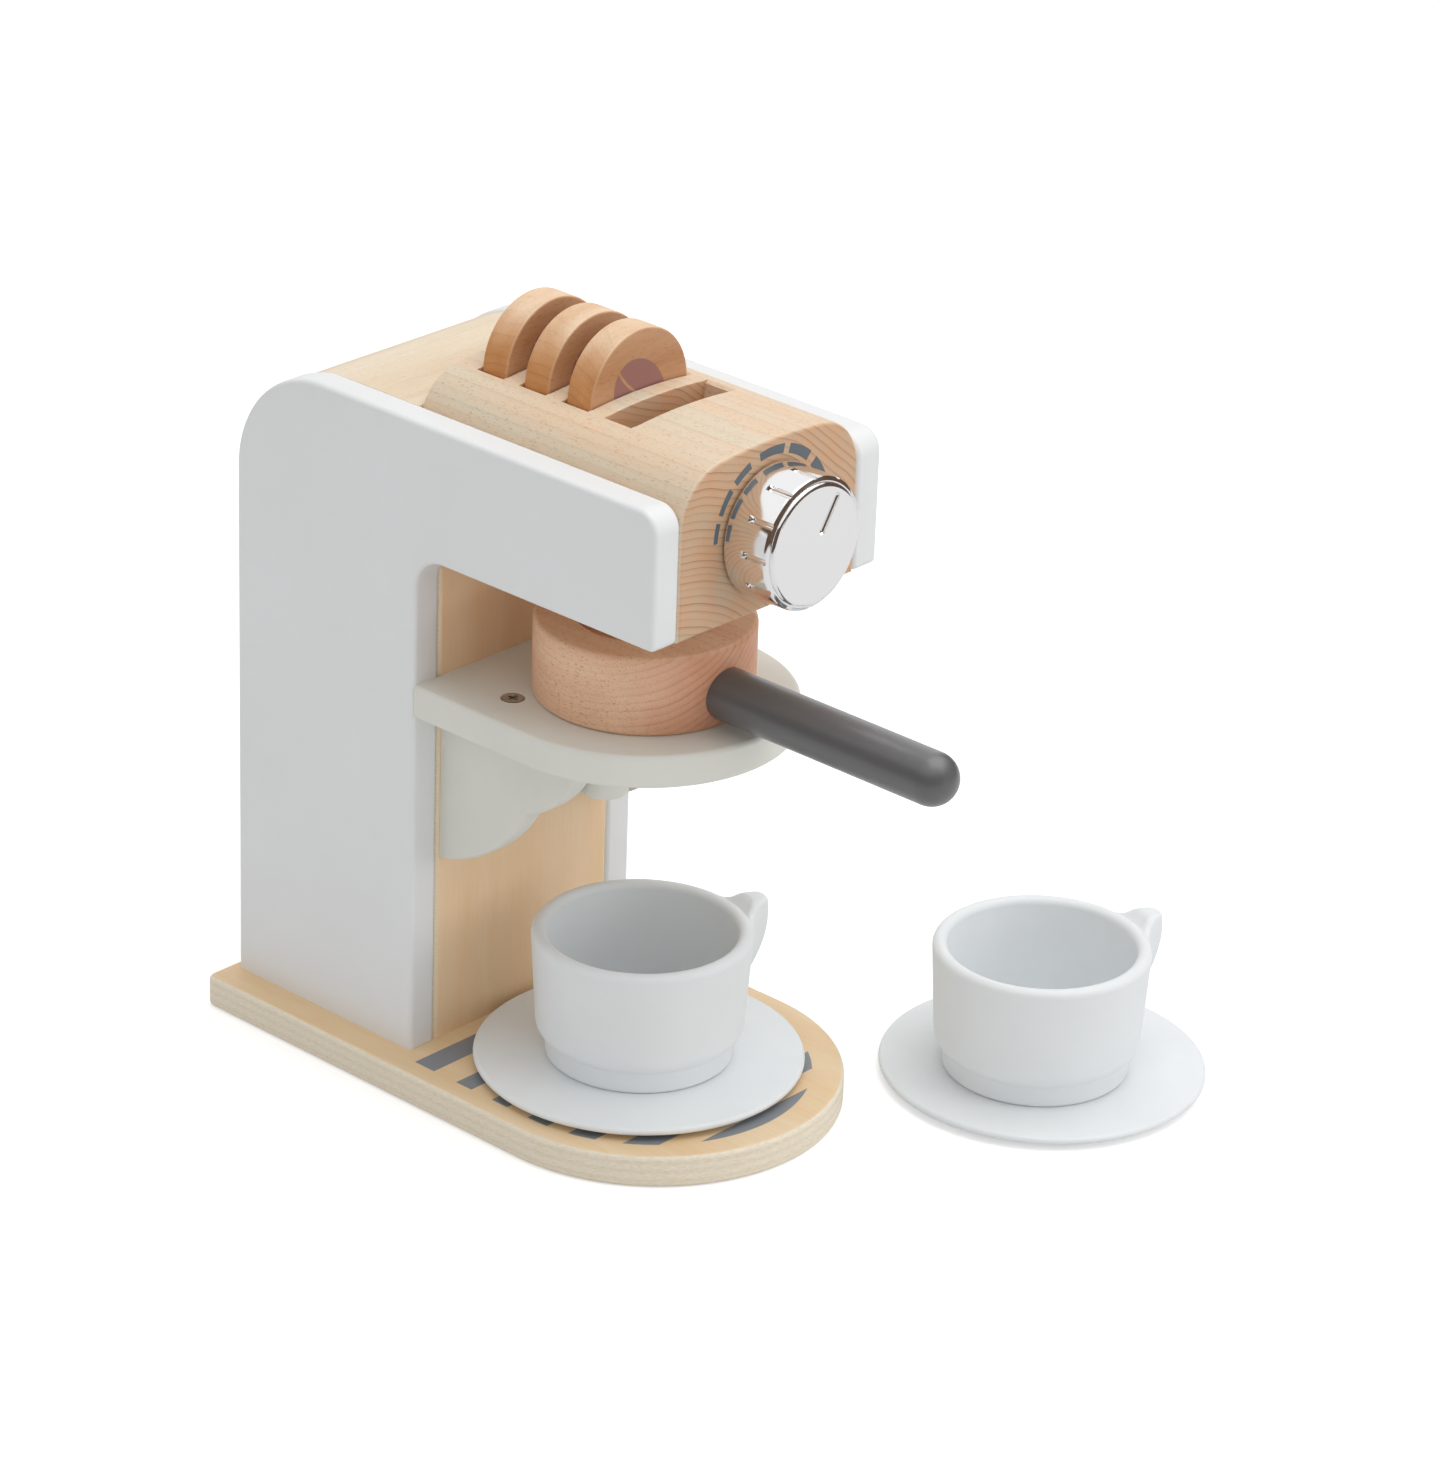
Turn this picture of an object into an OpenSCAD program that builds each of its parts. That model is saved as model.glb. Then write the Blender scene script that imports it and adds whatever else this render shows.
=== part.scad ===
// Wooden toy coffee maker with two cups, two saucers and three coffee pads.
// Frame: +Z up, -Y towards the front, origin on the base's underside at the middle of its footprint.

/* [Base] */
// Width of the base board
base_w = 135; // [128:1:150]
// Depth of the base board, front arc included
base_d = 223; // [215:1:240]
// Thickness of the base board
base_t = 12; // [10:0.5:18]
// Radius of the base board's rear corners
base_corner_r = 3; // [1:0.5:6]

/* [Casing] */
// Width across both side panels
body_w = 110; // [106:1:118]
// Thickness of each side panel
panel_t = 12; // [10:0.5:14]
// Height of the side panels' top above the floor
panel_top_z = 248.7; // [240:0.1:260]
// Height of the head's underside above the floor
head_bottom_z = 200; // [196:0.5:206]
// Distance from the base's rear edge to the side panels' rear edge
rear_inset = 3.5; // [2:0.5:8]
// Distance from the base's front edge to the head's front face
head_inset = 22.2; // [18:0.2:30]
// Depth of the column, from the side panels' rear edge to its front
column_depth = 87.7; // [84:0.1:90]
// Radius of the side panels' upper rear corner
rear_corner_r = 42; // [30:1:44]
// Radius of the side panels' upper front corner
head_corner_r = 8; // [4:1:12]
// Radius of the side panels' lower front corner
head_lip_r = 2; // [1:0.5:4]
// Radius of the inner corner between head and column
inner_fillet_r = 12; // [6:1:16]
// Thickness of the column's front board
front_board_t = 9; // [7:0.5:12]
// Radius on the upright front edges of the column's front board
front_board_edge_r = 2; // [1:0.5:3]
// Thickness of the bent rear cover
cover_t = 4; // [3:0.5:5]
// How far the rear cover lies below the side panels' edges
cover_recess = 0.7; // [0.4:0.1:1.5]

/* [Head block] */
// How far the head block reaches back over the column
block_overlap = 10.9; // [8:0.1:20]
// Height of the head block's crown above the floor
block_top_z = 260.5; // [259:0.5:264]
// Radius of the head block's shoulders
block_shoulder_r = 20; // [14:1:24]
// Radius of the head block's crown
block_crown_r = 221; // [180:1:300]
// Width of each pad slot
slot_w = 12.4; // [12:0.1:13]
// Distance between the middles of neighbouring slots
slot_pitch = 19.6; // [18:0.2:20.4]
// Distance from the block's rear end to the middle of the rearmost slot
slot_inset = 15.7; // [14:0.1:18]
// Depth of the slots' centre line below the crown
slot_drop = 2.3; // [1:0.1:3]

/* [Coffee pads] */
// Radius of a coffee pad
pad_r = 23.4; // [20:0.1:24]
// Thickness of a coffee pad
pad_t = 11.4; // [9:0.1:11.6]
// Radius on a coffee pad's edges
pad_edge_r = 1.4; // [1:0.1:4]
// Clearance between a pad and the bottom of its slot
pad_gap = 0.3; // [0.2:0.05:0.6]

/* [Knob] */
// Radius of the knob at its rear
knob_r = 23.6; // [22.9:0.1:24]
// Radius of the knob at its face
knob_face_r = 22.2; // [21.5:0.1:22.8]
// How far the knob stands out of the head's front face
knob_proud = 20.5; // [17:0.5:24]
// Height of the knob's axis above the floor
knob_z = 229; // [226:0.5:230]
// Thickness of the knob cap's wall and face
knob_wall = 2; // [1.5:0.1:2.5]
// Size of the bevel round the knob's face
knob_bevel = 1; // [0.5:0.1:1.5]
// Number of grip grooves round the knob
knob_grooves = 12; // [8:1:18]
// Radius of each grip groove
groove_r = 1.1; // [0.9:0.1:1.3]
// Length of each grip groove, from the knob's face
groove_len = 12; // [8:0.5:14]
// Angle of the pointer groove, counted from the right-hand side
pointer_angle = 58; // [0:1:180]
// Width of the pointer groove
pointer_w = 2; // [1.5:0.1:3]
// Thickness of the felt washer behind the knob
washer_t = 1; // [0.8:0.1:1.5]
// Radius of the knob screw's shoulder
shoulder_r = 4; // [3.5:0.1:5]
// Length of the knob screw's shoulder
shoulder_len = 8; // [6:0.5:10]
// Length of the knob screw's thread in the head block
knob_thread_len = 25; // [18:1:30]

/* [Shelf] */
// Height of the shelf's upper face above the floor
shelf_top_z = 152.2; // [148:0.1:156]
// Thickness of the shelf
shelf_t = 12; // [10:0.5:14]
// Depth of the shelf in front of the column
shelf_d = 108.4; // [104:0.2:112]
// Thickness of each bracket
bracket_t = 9; // [8:0.5:12]
// Distance from a bracket's outer face to the side edge of the column's front board
bracket_inset = 1.5; // [0.5:0.5:4]
// Radius of each bracket's lower curve
bracket_lower_r = 59.6; // [56:0.2:62]
// Radius of each bracket's upper curve
bracket_upper_r = 44.6; // [42:0.2:46]

/* [Spouts] */
// Radius of a spout
spout_r = 8.3; // [6:0.1:9]
// Length of a spout below the shelf
spout_len = 20; // [14:1:24]
// Depth of a spout's socket in the shelf
spout_socket = 6; // [4:0.5:8]
// Distance from the middle plane to a spout's axis
spout_x = 18; // [14:0.5:22]

/* [Portafilter] */
// Radius of the portafilter's bowl
bowl_r = 38.2; // [36:0.2:40]
// Height of the portafilter's bowl
bowl_h = 28.6; // [27:0.2:32]
// Radius on the bowl's edges
bowl_edge_r = 1.8; // [1:0.1:3]
// Distance from the column's front to the bowl's axis
bowl_reach = 55.4; // [53:0.2:57]
// Depth of the pad recess in the bowl
recess_depth = 12.5; // [11.8:0.1:14]
// Clearance round a pad in the bowl's recess
recess_gap = 0.9; // [0.5:0.1:1.5]
// Radius of the portafilter's handle
handle_r = 9.3; // [8:0.1:9.5]
// Height of the handle's axis above the bowl's underside
handle_rise = 11.4; // [11:0.1:14]
// Length of the handle outside the bowl
handle_len = 99.5; // [80:0.5:110]
// Depth of the handle's socket in the bowl
handle_socket = 10; // [8:0.5:12]

/* [Cups and saucers] */
// Radius of a cup at its rim
cup_r = 38.5; // [37:0.1:40]
// Height of a cup
cup_h = 48; // [46:0.5:50]
// Radius of a cup's foot
cup_foot_r = 33; // [31:0.1:33.5]
// Thickness of a cup's wall at the rim
cup_wall = 5.2; // [4:0.1:6]
// Thickness of a cup's floor
cup_floor = 6; // [4:0.5:8]
// Height of a cup's foot ring
cup_foot_h = 8.4; // [6:0.1:10]
// How far a cup's lug reaches from the cup's axis
lug_reach = 49.2; // [47:0.1:52]
// Width of a cup's lug
lug_w = 8.2; // [7:0.2:12]
// Direction of the lugs, counted from the right-hand side
lug_angle = -18; // [-90:1:90]
// Radius of a saucer
saucer_r = 58; // [54:0.5:59]
// Thickness of a saucer
saucer_t = 4.6; // [4:0.1:6]
// Radius of a saucer's foot
saucer_foot_r = 42; // [36:1:46]
// Radius on a saucer's rim
saucer_rim_r = 1.3; // [1:0.1:1.5]
// Gap between the column's front and the first saucer's rim
saucer_gap = 2.5; // [1:0.5:6]
// Place of the first saucer to the left of the middle plane
saucer_1_shift = 2.5; // [0:0.5:4]
// Place of the second saucer to the right of the middle plane
saucer_2_x = 111.4; // [110:0.2:130]
// Place of the second saucer in front of the base's middle
saucer_2_y = -129.4; // [-150:0.2:-120]
// How far the second cup stands to the left on its saucer
cup_2_shift = 4; // [0:0.5:5]

/* [Fasteners] */
// Radius of the dowels that join the side panels to what lies between them
dowel_r = 4; // [3:0.5:4.5]
// Depth of a dowel's socket in a side panel
dowel_panel_depth = 8; // [6:0.5:9]
// Depth of a dowel's socket in a block or batten
dowel_block_depth = 16; // [12:0.5:18]
// Radius of the dowels that join the shelf to the column
shelf_dowel_r = 3; // [2.5:0.5:4]
// Radius of a base screw's shank
base_screw_r = 2; // [1.5:0.1:2.5]
// Length of a base screw
base_screw_len = 26; // [22:1:30]
// Radius of the shank of a shelf screw or bracket screw
small_screw_r = 1.75; // [1.5:0.05:2]
// Length of a shelf screw or bracket screw
small_screw_len = 25; // [20:1:26]
// Distance from the battens' dowels to the middle of the base screws beside them
base_screw_gap = 7; // [5:1:12]
// Clearance round a glued dowel or a screw
fit_gap = 0.05; // [0.02:0.01:0.1]
// Clearance round the knob screw's shoulder
running_gap = 0.08; // [0.04:0.01:0.1]
// Height and depth of the battens in the column
batten = 20; // [18:1:24]
// Height and depth of the rail under the rear cover
rail = 15; // [12:1:18]

/* [Hidden] */
// Smoothness of round shapes
$fn = 96;
// Overlap of a cutting shape past the face that it opens
cut = 1;

// Colours
birch = "#e4cda4";
beech = "#d9a878";
white_paint = "#e2e4e4";
grey_paint = "#c9c9c1";
dark_paint = "#5c5c5f";
steel = "#b9bcc0";

// Places along Y
base_front_y = -base_d / 2;
base_rear_y = base_d / 2;
base_arc_y = base_front_y + base_w / 2;
head_front_y = base_front_y + head_inset;
panel_rear_y = base_rear_y - rear_inset;
column_front_y = panel_rear_y - column_depth;
block_rear_y = column_front_y + block_overlap;
block_len = block_rear_y - head_front_y;
bowl_y = column_front_y - bowl_reach;
saucer_1_y = column_front_y - saucer_gap - saucer_r;
pad_count = 3;
slot_count = pad_count + 1;
front_batten_y = column_front_y + front_board_t;
rear_batten_y = panel_rear_y - cover_recess - cover_t - batten;
// The rail stands where the rear cover is still flat
rail_y = panel_rear_y - rear_corner_r - rail;

// Places along X and Z
inner_w = body_w - 2 * panel_t;
inner_x = inner_w / 2;
shelf_bottom_z = shelf_top_z - shelf_t;
cover_under_z = panel_top_z - cover_recess - cover_t;
rail_z = cover_under_z - rail;
slot_z = block_top_z - slot_drop;
slot_r = pad_r + pad_gap;
cup_1_z = base_t + saucer_t;
bracket_x = inner_x - bracket_inset;
bracket_mid_x = bracket_x - bracket_t / 2;
base_screw_x = inner_x - dowel_block_depth - base_screw_gap;
shelf_arc_r = body_w / 2;
shelf_arc_y = column_front_y - shelf_d + shelf_arc_r;
handle_z = shelf_top_z + handle_rise;

// Middle of each shoulder's circle: it touches the panel's plane and the crown's circle
shoulder_x = inner_x - block_shoulder_r;
crown_z = block_top_z - block_crown_r;
shoulder_z = crown_z + sqrt(pow(block_crown_r - block_shoulder_r, 2) - pow(shoulder_x, 2));
crown_half_w = shoulder_x * block_crown_r / (block_crown_r - block_shoulder_r);

// Dowels between the panels and the head block, the battens and the rail, as [y, z]
dowel_inset = 20;
dowel_rise = 14;
dowel_spots = [
  [head_front_y + dowel_inset, head_bottom_z + dowel_rise],
  [head_front_y + block_len / 2, head_bottom_z + dowel_rise],
  [block_rear_y - dowel_inset, head_bottom_z + dowel_rise],
  [front_batten_y + batten / 2, base_t + batten / 2],
  [rear_batten_y + batten / 2, base_t + batten / 2],
  [rail_y + rail / 2, rail_z + rail / 2]
];

// Screws up through the base board into the battens, as y
base_screw_rows = [front_batten_y + batten / 2, rear_batten_y + batten / 2];
base_head_r = 2 * base_screw_r;

// Heights of the bracket screws, below the shelf's underside
bracket_screw_drops = [12, 42];
small_head_r = 2.2 * small_screw_r;
shelf_screw_reach = 29.5;
shelf_screw_y = column_front_y - shelf_screw_reach;

// Cross recess of a screw: its reach, width and depth as parts of the head, and the blunt tip
recess_reach = 0.55;
recess_width = 0.22;
recess_sink = 0.6;
screw_tip_r = 0.3;

// Dowels between the shelf's rear edge and the column's front board
shelf_dowel_x = 15;
shelf_dowel_board_depth = 6;
shelf_dowel_shelf_depth = 16;
shelf_dowel_z = shelf_top_z - shelf_t / 2;

// Centres of the bracket's two curves, in front of the column and below the shelf
bracket_lower_at = [-11.8, -0.5];
bracket_upper_at = [24.2, -14.2];

// Knob, counted outwards from the head's front face
hub_gap = 0.1;
groove_axis_r = (knob_r + knob_face_r) / 2;
hub_r = knob_face_r - knob_wall - fit_gap;
hub_flange_z = shoulder_len - hub_gap;
hub_face_z = knob_proud - knob_wall;
screw_head_r = 7;
screw_head_h = 4;
screw_head_room = 0.6;
knob_thread_r = 3;
hex_r = 2.6;
hex_depth = 2.4;
washer_r = 16;
pointer_in = 5;
pointer_out = 18;
pointer_depth = 0.8;

// Cup: the foot ring, the round turn above it and the hollow
foot_chamfer = 0.6;
foot_step = 0.6;
turn_r = 6;
belly_r = cup_r - 1.9;
cup_rim_r = cup_wall / 2;
cup_rim_z = cup_h - cup_rim_r;
hollow_foot_r = 25;
hollow_turn_r = 6;
hollow_belly_r = hollow_foot_r + hollow_turn_r;

// Cup lug: the side curve, the dip in its top and the flare at its root
lug_curve_r = 31;
lug_curve_z = cup_h - 3.8;
lug_top_z = cup_h + 2.2;
lug_dip = 2.8;
lug_dip_r = 8;
lug_dip_x = cup_r + 0.1;
lug_root_x = hollow_belly_r + cup_wall / 2;
flare_r = 8;
flare_y = lug_w / 2 + flare_r;
flare_x = sqrt(pow(cup_r + flare_r, 2) - pow(flare_y, 2));
flare_root = [flare_x, flare_y] * cup_r / (cup_r + flare_r);
saucer_rim_z = saucer_t - saucer_rim_r;

// ---- Helpers ----

// The part of a square corner outside its rounding, for a corner whose material lies at +x, +y
module corner_wedge(r) {
  difference() {
    translate([-cut, -cut]) square(r + cut);
    translate([r, r]) circle(r);
  }
}

// Draws a side-view outline, with x as Y and y as Z, and gives it a width along +X
module side_view(x, width) {
  translate([x, 0, 0]) rotate([90, 0, 90]) linear_extrude(width) children();
}

// Turns a part built along +Z so that it points to the front
module face_front(y, z) {
  translate([0, y, z]) rotate([90, 0, 0]) children();
}

// A disc with round edges, standing on z = 0
module round_disc(r, h, edge) {
  rotate_extrude() {
    square([r - edge, h]);
    translate([0, edge]) square([r, h - 2 * edge]);
    for (z = [edge, h - edge]) translate([r - edge, z]) circle(edge);
  }
}

// A countersunk screw that points along +Z, its head's face on z = 0
module countersunk_screw(r, head_r, len) {
  head_h = head_r - r;
  tip_h = 2 * r;
  bar = [2 * head_r * recess_reach, head_r * recess_width, cut + head_h * recess_sink];
  difference() {
    union() {
      cylinder(h = head_h, r1 = head_r, r2 = r);
      cylinder(h = len - tip_h, r = r);
      translate([0, 0, len - tip_h]) cylinder(h = tip_h, r1 = r, r2 = screw_tip_r);
    }
    for (a = [0, 90]) rotate([0, 0, a]) translate([-bar[0] / 2, -bar[1] / 2, -cut]) cube(bar);
  }
}

// The hole that a countersunk screw fills, opened past the face it starts from
module screw_hole(r, head_r, len) {
  head_h = head_r - r;
  hole_r = r + fit_gap;
  translate([0, 0, -cut]) cylinder(h = cut + len + fit_gap, r = hole_r);
  cylinder(h = head_h, r1 = head_r + fit_gap, r2 = hole_r);
  translate([0, 0, -cut]) cylinder(h = cut, r = head_r + fit_gap);
}

// Places children once for each dowel, side by side, pointing to +X from the panel's socket floor
module at_dowels() {
  start_x = inner_x + dowel_panel_depth;
  for (side = [0, 1], spot = dowel_spots)
    mirror([side, 0, 0]) translate([start_x, spot[0], spot[1]]) rotate([0, -90, 0]) children();
}

module dowel_sockets() {
  at_dowels() cylinder(h = dowel_panel_depth + dowel_block_depth, r = dowel_r + fit_gap);
}

module at_base_screws() {
  for (x = [-base_screw_x, base_screw_x], y = base_screw_rows) translate([x, y, 0]) children();
}

module base_screw_holes() {
  at_base_screws() screw_hole(base_screw_r, base_head_r, base_screw_len);
}

module at_shelf_dowels() {
  for (x = [-shelf_dowel_x, shelf_dowel_x])
    translate([x, column_front_y + shelf_dowel_board_depth, shelf_dowel_z]) rotate([90, 0, 0]) children();
}

module shelf_dowel_sockets() {
  at_shelf_dowels()
    cylinder(h = shelf_dowel_board_depth + shelf_dowel_shelf_depth, r = shelf_dowel_r + fit_gap);
}

module at_shelf_screws() {
  for (x = [-bracket_mid_x, bracket_mid_x])
    translate([x, shelf_screw_y, shelf_top_z]) rotate([180, 0, 0]) children();
}

module shelf_screw_holes() {
  at_shelf_screws() screw_hole(small_screw_r, small_head_r, small_screw_len);
}

module at_bracket_screws() {
  for (x = [-bracket_mid_x, bracket_mid_x], drop = bracket_screw_drops)
    translate([x, front_batten_y, shelf_bottom_z - drop]) rotate([90, 0, 0]) children();
}

module bracket_screw_holes() {
  at_bracket_screws() screw_hole(small_screw_r, small_head_r, small_screw_len);
}

// ---- Casing ----

module base_board() {
  color(birch) difference() {
    linear_extrude(base_t) difference() {
      union() {
        translate([0, base_arc_y]) circle(base_w / 2);
        translate([-base_w / 2, base_arc_y]) square([base_w, base_rear_y - base_arc_y]);
      }
      for (side = [0, 1]) mirror([side, 0])
        translate([base_w / 2, base_rear_y]) rotate(180) corner_wedge(base_corner_r);
    }
    base_screw_holes();
  }
}

// Outline of a side panel: a column with a head that reaches forward
module panel_outline() {
  difference() {
    union() {
      translate([column_front_y, base_t]) square([column_depth, panel_top_z - base_t]);
      translate([head_front_y, head_bottom_z])
        square([panel_rear_y - head_front_y, panel_top_z - head_bottom_z]);
      translate([column_front_y, head_bottom_z]) rotate(180) corner_wedge(inner_fillet_r);
    }
    translate([panel_rear_y, panel_top_z]) rotate(180) corner_wedge(rear_corner_r);
    translate([head_front_y, panel_top_z]) mirror([0, 1]) corner_wedge(head_corner_r);
    translate([head_front_y, head_bottom_z]) corner_wedge(head_lip_r);
  }
}

module side_panel() {
  color(white_paint) difference() {
    side_view(inner_x, panel_t) panel_outline();
    dowel_sockets();
  }
}

module right_side_panel() {
  side_panel();
}

module left_side_panel() {
  mirror([1, 0, 0]) side_panel();
}

// Outline of the head block seen from the front: a flat crown with round shoulders
module block_outline() {
  translate([-inner_x, head_bottom_z]) square([inner_w, shoulder_z - head_bottom_z]);
  for (x = [-shoulder_x, shoulder_x]) translate([x, shoulder_z]) circle(block_shoulder_r);
  intersection() {
    translate([0, crown_z]) circle(block_crown_r, $fn = 360);
    translate([-crown_half_w, head_bottom_z]) square([2 * crown_half_w, block_top_z - head_bottom_z]);
  }
}

// Middle of a slot, counted from the front
function slot_y(index) = block_rear_y - slot_inset - (slot_count - 1 - index) * slot_pitch;

// One pad slot: a half disc with straight walls above its centre line
module pad_slot(index) {
  face_front(slot_y(index) + slot_w / 2, slot_z) {
    cylinder(h = slot_w, r = slot_r);
    translate([-slot_r, 0, 0]) cube([2 * slot_r, slot_drop + cut, slot_w]);
  }
}

module head_block() {
  color(beech) difference() {
    face_front(block_rear_y, 0) linear_extrude(block_len) block_outline();
    for (i = [0 : slot_count - 1]) pad_slot(i);
    face_front(head_front_y + knob_thread_len, knob_z)
      cylinder(h = knob_thread_len + cut, r = knob_thread_r + fit_gap);
    dowel_sockets();
  }
}

module column_front_board() {
  board_h = head_bottom_z - base_t;
  edge = front_board_edge_r;
  color(birch) difference() {
    translate([0, column_front_y, base_t]) linear_extrude(board_h) {
      translate([-inner_x, edge]) square([inner_w, front_board_t - edge]);
      translate([-inner_x + edge, 0]) square([inner_w - 2 * edge, front_board_t]);
      for (x = [-inner_x + edge, inner_x - edge]) translate([x, edge]) circle(edge);
    }
    shelf_dowel_sockets();
    bracket_screw_holes();
  }
}

// What lies inside the rear cover's face when that face is set in from the panels' edges
module cover_outline(inset) {
  difference() {
    translate([block_rear_y - cut, base_t - cut])
      square([panel_rear_y - inset - block_rear_y + cut, panel_top_z - inset - base_t + cut]);
    translate([panel_rear_y - inset, panel_top_z - inset]) rotate(180) corner_wedge(rear_corner_r - inset);
  }
}

module rear_cover() {
  color(birch) side_view(-inner_x, inner_w) intersection() {
    difference() {
      cover_outline(cover_recess);
      cover_outline(cover_recess + cover_t);
    }
    translate([block_rear_y, base_t]) square([base_d, panel_top_z]);
  }
}

// A batten across the column's foot
module column_batten(y) {
  color(beech) difference() {
    translate([-inner_x, y, base_t]) cube([inner_w, batten, batten]);
    base_screw_holes();
    dowel_sockets();
  }
}

module front_batten() {
  column_batten(front_batten_y);
}

module rear_batten() {
  column_batten(rear_batten_y);
}

module cover_rail() {
  color(beech) difference() {
    translate([-inner_x, rail_y, rail_z]) cube([inner_w, rail, rail]);
    dowel_sockets();
  }
}

module panel_dowels() {
  color(beech) at_dowels()
    translate([0, 0, fit_gap]) cylinder(h = dowel_panel_depth + dowel_block_depth - 2 * fit_gap, r = dowel_r);
}

module base_screws() {
  color(steel) at_base_screws() countersunk_screw(base_screw_r, base_head_r, base_screw_len);
}

// ---- Knob ----

module knob_cap() {
  color(steel) face_front(head_front_y, knob_z) difference() {
    union() {
      translate([0, 0, washer_t])
        cylinder(h = knob_proud - washer_t - knob_bevel, r1 = knob_r, r2 = knob_face_r);
      translate([0, 0, knob_proud - knob_bevel])
        cylinder(h = knob_bevel, r1 = knob_face_r, r2 = knob_face_r - knob_bevel);
    }
    translate([0, 0, washer_t - cut])
      cylinder(h = hub_face_z - washer_t + cut, r = knob_face_r - knob_wall);
    for (i = [0 : knob_grooves - 1]) rotate([0, 0, i * 360 / knob_grooves])
      translate([groove_axis_r, 0, knob_proud - groove_len + groove_r]) {
        cylinder(h = groove_len + cut, r = groove_r);
        translate([0, 0, -groove_r]) cylinder(h = groove_r, r1 = groove_r / 4, r2 = groove_r);
      }
    rotate([0, 0, pointer_angle]) translate([0, 0, knob_proud - pointer_depth]) {
      for (x = [pointer_in, pointer_out]) translate([x, 0, 0])
        cylinder(h = pointer_depth + cut, r = pointer_w / 2);
      translate([pointer_in, -pointer_w / 2, 0])
        cube([pointer_out - pointer_in, pointer_w, pointer_depth + cut]);
    }
  }
}

module knob_hub() {
  color("#3a3a3c") face_front(head_front_y, knob_z) difference() {
    translate([0, 0, washer_t + hub_gap]) cylinder(h = hub_face_z - washer_t - hub_gap, r = hub_r);
    cylinder(h = shoulder_len, r = shoulder_r + running_gap);
    translate([0, 0, hub_flange_z]) cylinder(h = hub_face_z, r = screw_head_r + screw_head_room);
  }
}

module knob_screw() {
  color(steel) face_front(head_front_y, knob_z) difference() {
    union() {
      translate([0, 0, fit_gap - knob_thread_len]) cylinder(h = knob_thread_len, r = knob_thread_r);
      cylinder(h = shoulder_len, r = shoulder_r);
      translate([0, 0, shoulder_len]) cylinder(h = screw_head_h, r = screw_head_r);
    }
    translate([0, 0, shoulder_len + screw_head_h - hex_depth])
      cylinder(h = hex_depth + cut, r = hex_r, $fn = 6);
  }
}

module knob_washer() {
  color("#6f6f6c") face_front(head_front_y, knob_z) difference() {
    cylinder(h = washer_t, r = washer_r);
    translate([0, 0, -cut]) cylinder(h = washer_t + 2 * cut, r = shoulder_r + running_gap);
  }
}

// ---- Shelf ----

module shelf() {
  color(grey_paint) difference() {
    translate([0, 0, shelf_bottom_z]) linear_extrude(shelf_t) intersection() {
      union() {
        translate([0, shelf_arc_y]) circle(shelf_arc_r);
        translate([-shelf_arc_r, shelf_arc_y]) square([2 * shelf_arc_r, shelf_arc_r]);
      }
      translate([-shelf_arc_r, column_front_y - shelf_d]) square([2 * shelf_arc_r, shelf_d]);
    }
    shelf_screw_holes();
    shelf_dowel_sockets();
    at_spouts() translate([0, 0, -spout_len]) cylinder(h = spout_len + spout_socket, r = spout_r + fit_gap);
  }
}

// Outline of a bracket: x is the distance in front of the column, y the depth below the shelf
module bracket_outline() {
  reach = bracket_upper_at[0] + bracket_upper_r;
  drop = bracket_lower_at[1] + bracket_lower_r;
  intersection() {
    square([reach, drop]);
    union() {
      translate(bracket_lower_at) circle(bracket_lower_r);
      translate(bracket_upper_at) circle(bracket_upper_r);
    }
  }
}

module right_bracket() {
  color(grey_paint) difference() {
    translate([0, column_front_y, shelf_bottom_z])
      side_view(bracket_x - bracket_t, bracket_t) rotate(180) bracket_outline();
    shelf_screw_holes();
    bracket_screw_holes();
  }
}

module left_bracket() {
  mirror([1, 0, 0]) right_bracket();
}

module shelf_dowels() {
  color(beech) at_shelf_dowels() translate([0, 0, fit_gap])
    cylinder(h = shelf_dowel_board_depth + shelf_dowel_shelf_depth - 2 * fit_gap, r = shelf_dowel_r);
}

module shelf_screws() {
  color(steel) at_shelf_screws() countersunk_screw(small_screw_r, small_head_r, small_screw_len);
}

module bracket_screws() {
  color(steel) at_bracket_screws() countersunk_screw(small_screw_r, small_head_r, small_screw_len);
}

module at_spouts() {
  for (x = [-spout_x, spout_x]) translate([x, bowl_y, shelf_bottom_z]) children();
}

module spouts() {
  color(grey_paint) at_spouts()
    translate([0, 0, -spout_len]) cylinder(h = spout_len + spout_socket - fit_gap, r = spout_r);
}

// ---- Portafilter ----

module handle_socket_bore(gap) {
  start = bowl_r - handle_socket;
  translate([0, bowl_y - start, handle_z]) rotate([90, 0, 0])
    cylinder(h = handle_socket + cut, r = handle_r + gap);
}

module portafilter_bowl() {
  color(beech) difference() {
    translate([0, bowl_y, shelf_top_z]) difference() {
      round_disc(bowl_r, bowl_h, bowl_edge_r);
      translate([0, 0, bowl_h - recess_depth]) cylinder(h = recess_depth + cut, r = pad_r + recess_gap);
    }
    handle_socket_bore(fit_gap);
  }
}

module portafilter_handle() {
  straight = handle_socket + handle_len - handle_r - fit_gap;
  color(dark_paint) translate([0, bowl_y - bowl_r + handle_socket - fit_gap, handle_z]) rotate([90, 0, 0]) {
    cylinder(h = straight, r = handle_r);
    translate([0, 0, straight]) sphere(handle_r);
  }
}

// ---- Coffee pads ----

module coffee_pad(index) {
  color(beech) face_front(slot_y(index) + pad_t / 2, slot_z) round_disc(pad_r, pad_t, pad_edge_r);
}

module coffee_pad_1() {
  coffee_pad(1);
}

module coffee_pad_2() {
  coffee_pad(2);
}

module coffee_pad_3() {
  coffee_pad(3);
}

// ---- Cups and saucers ----

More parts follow.
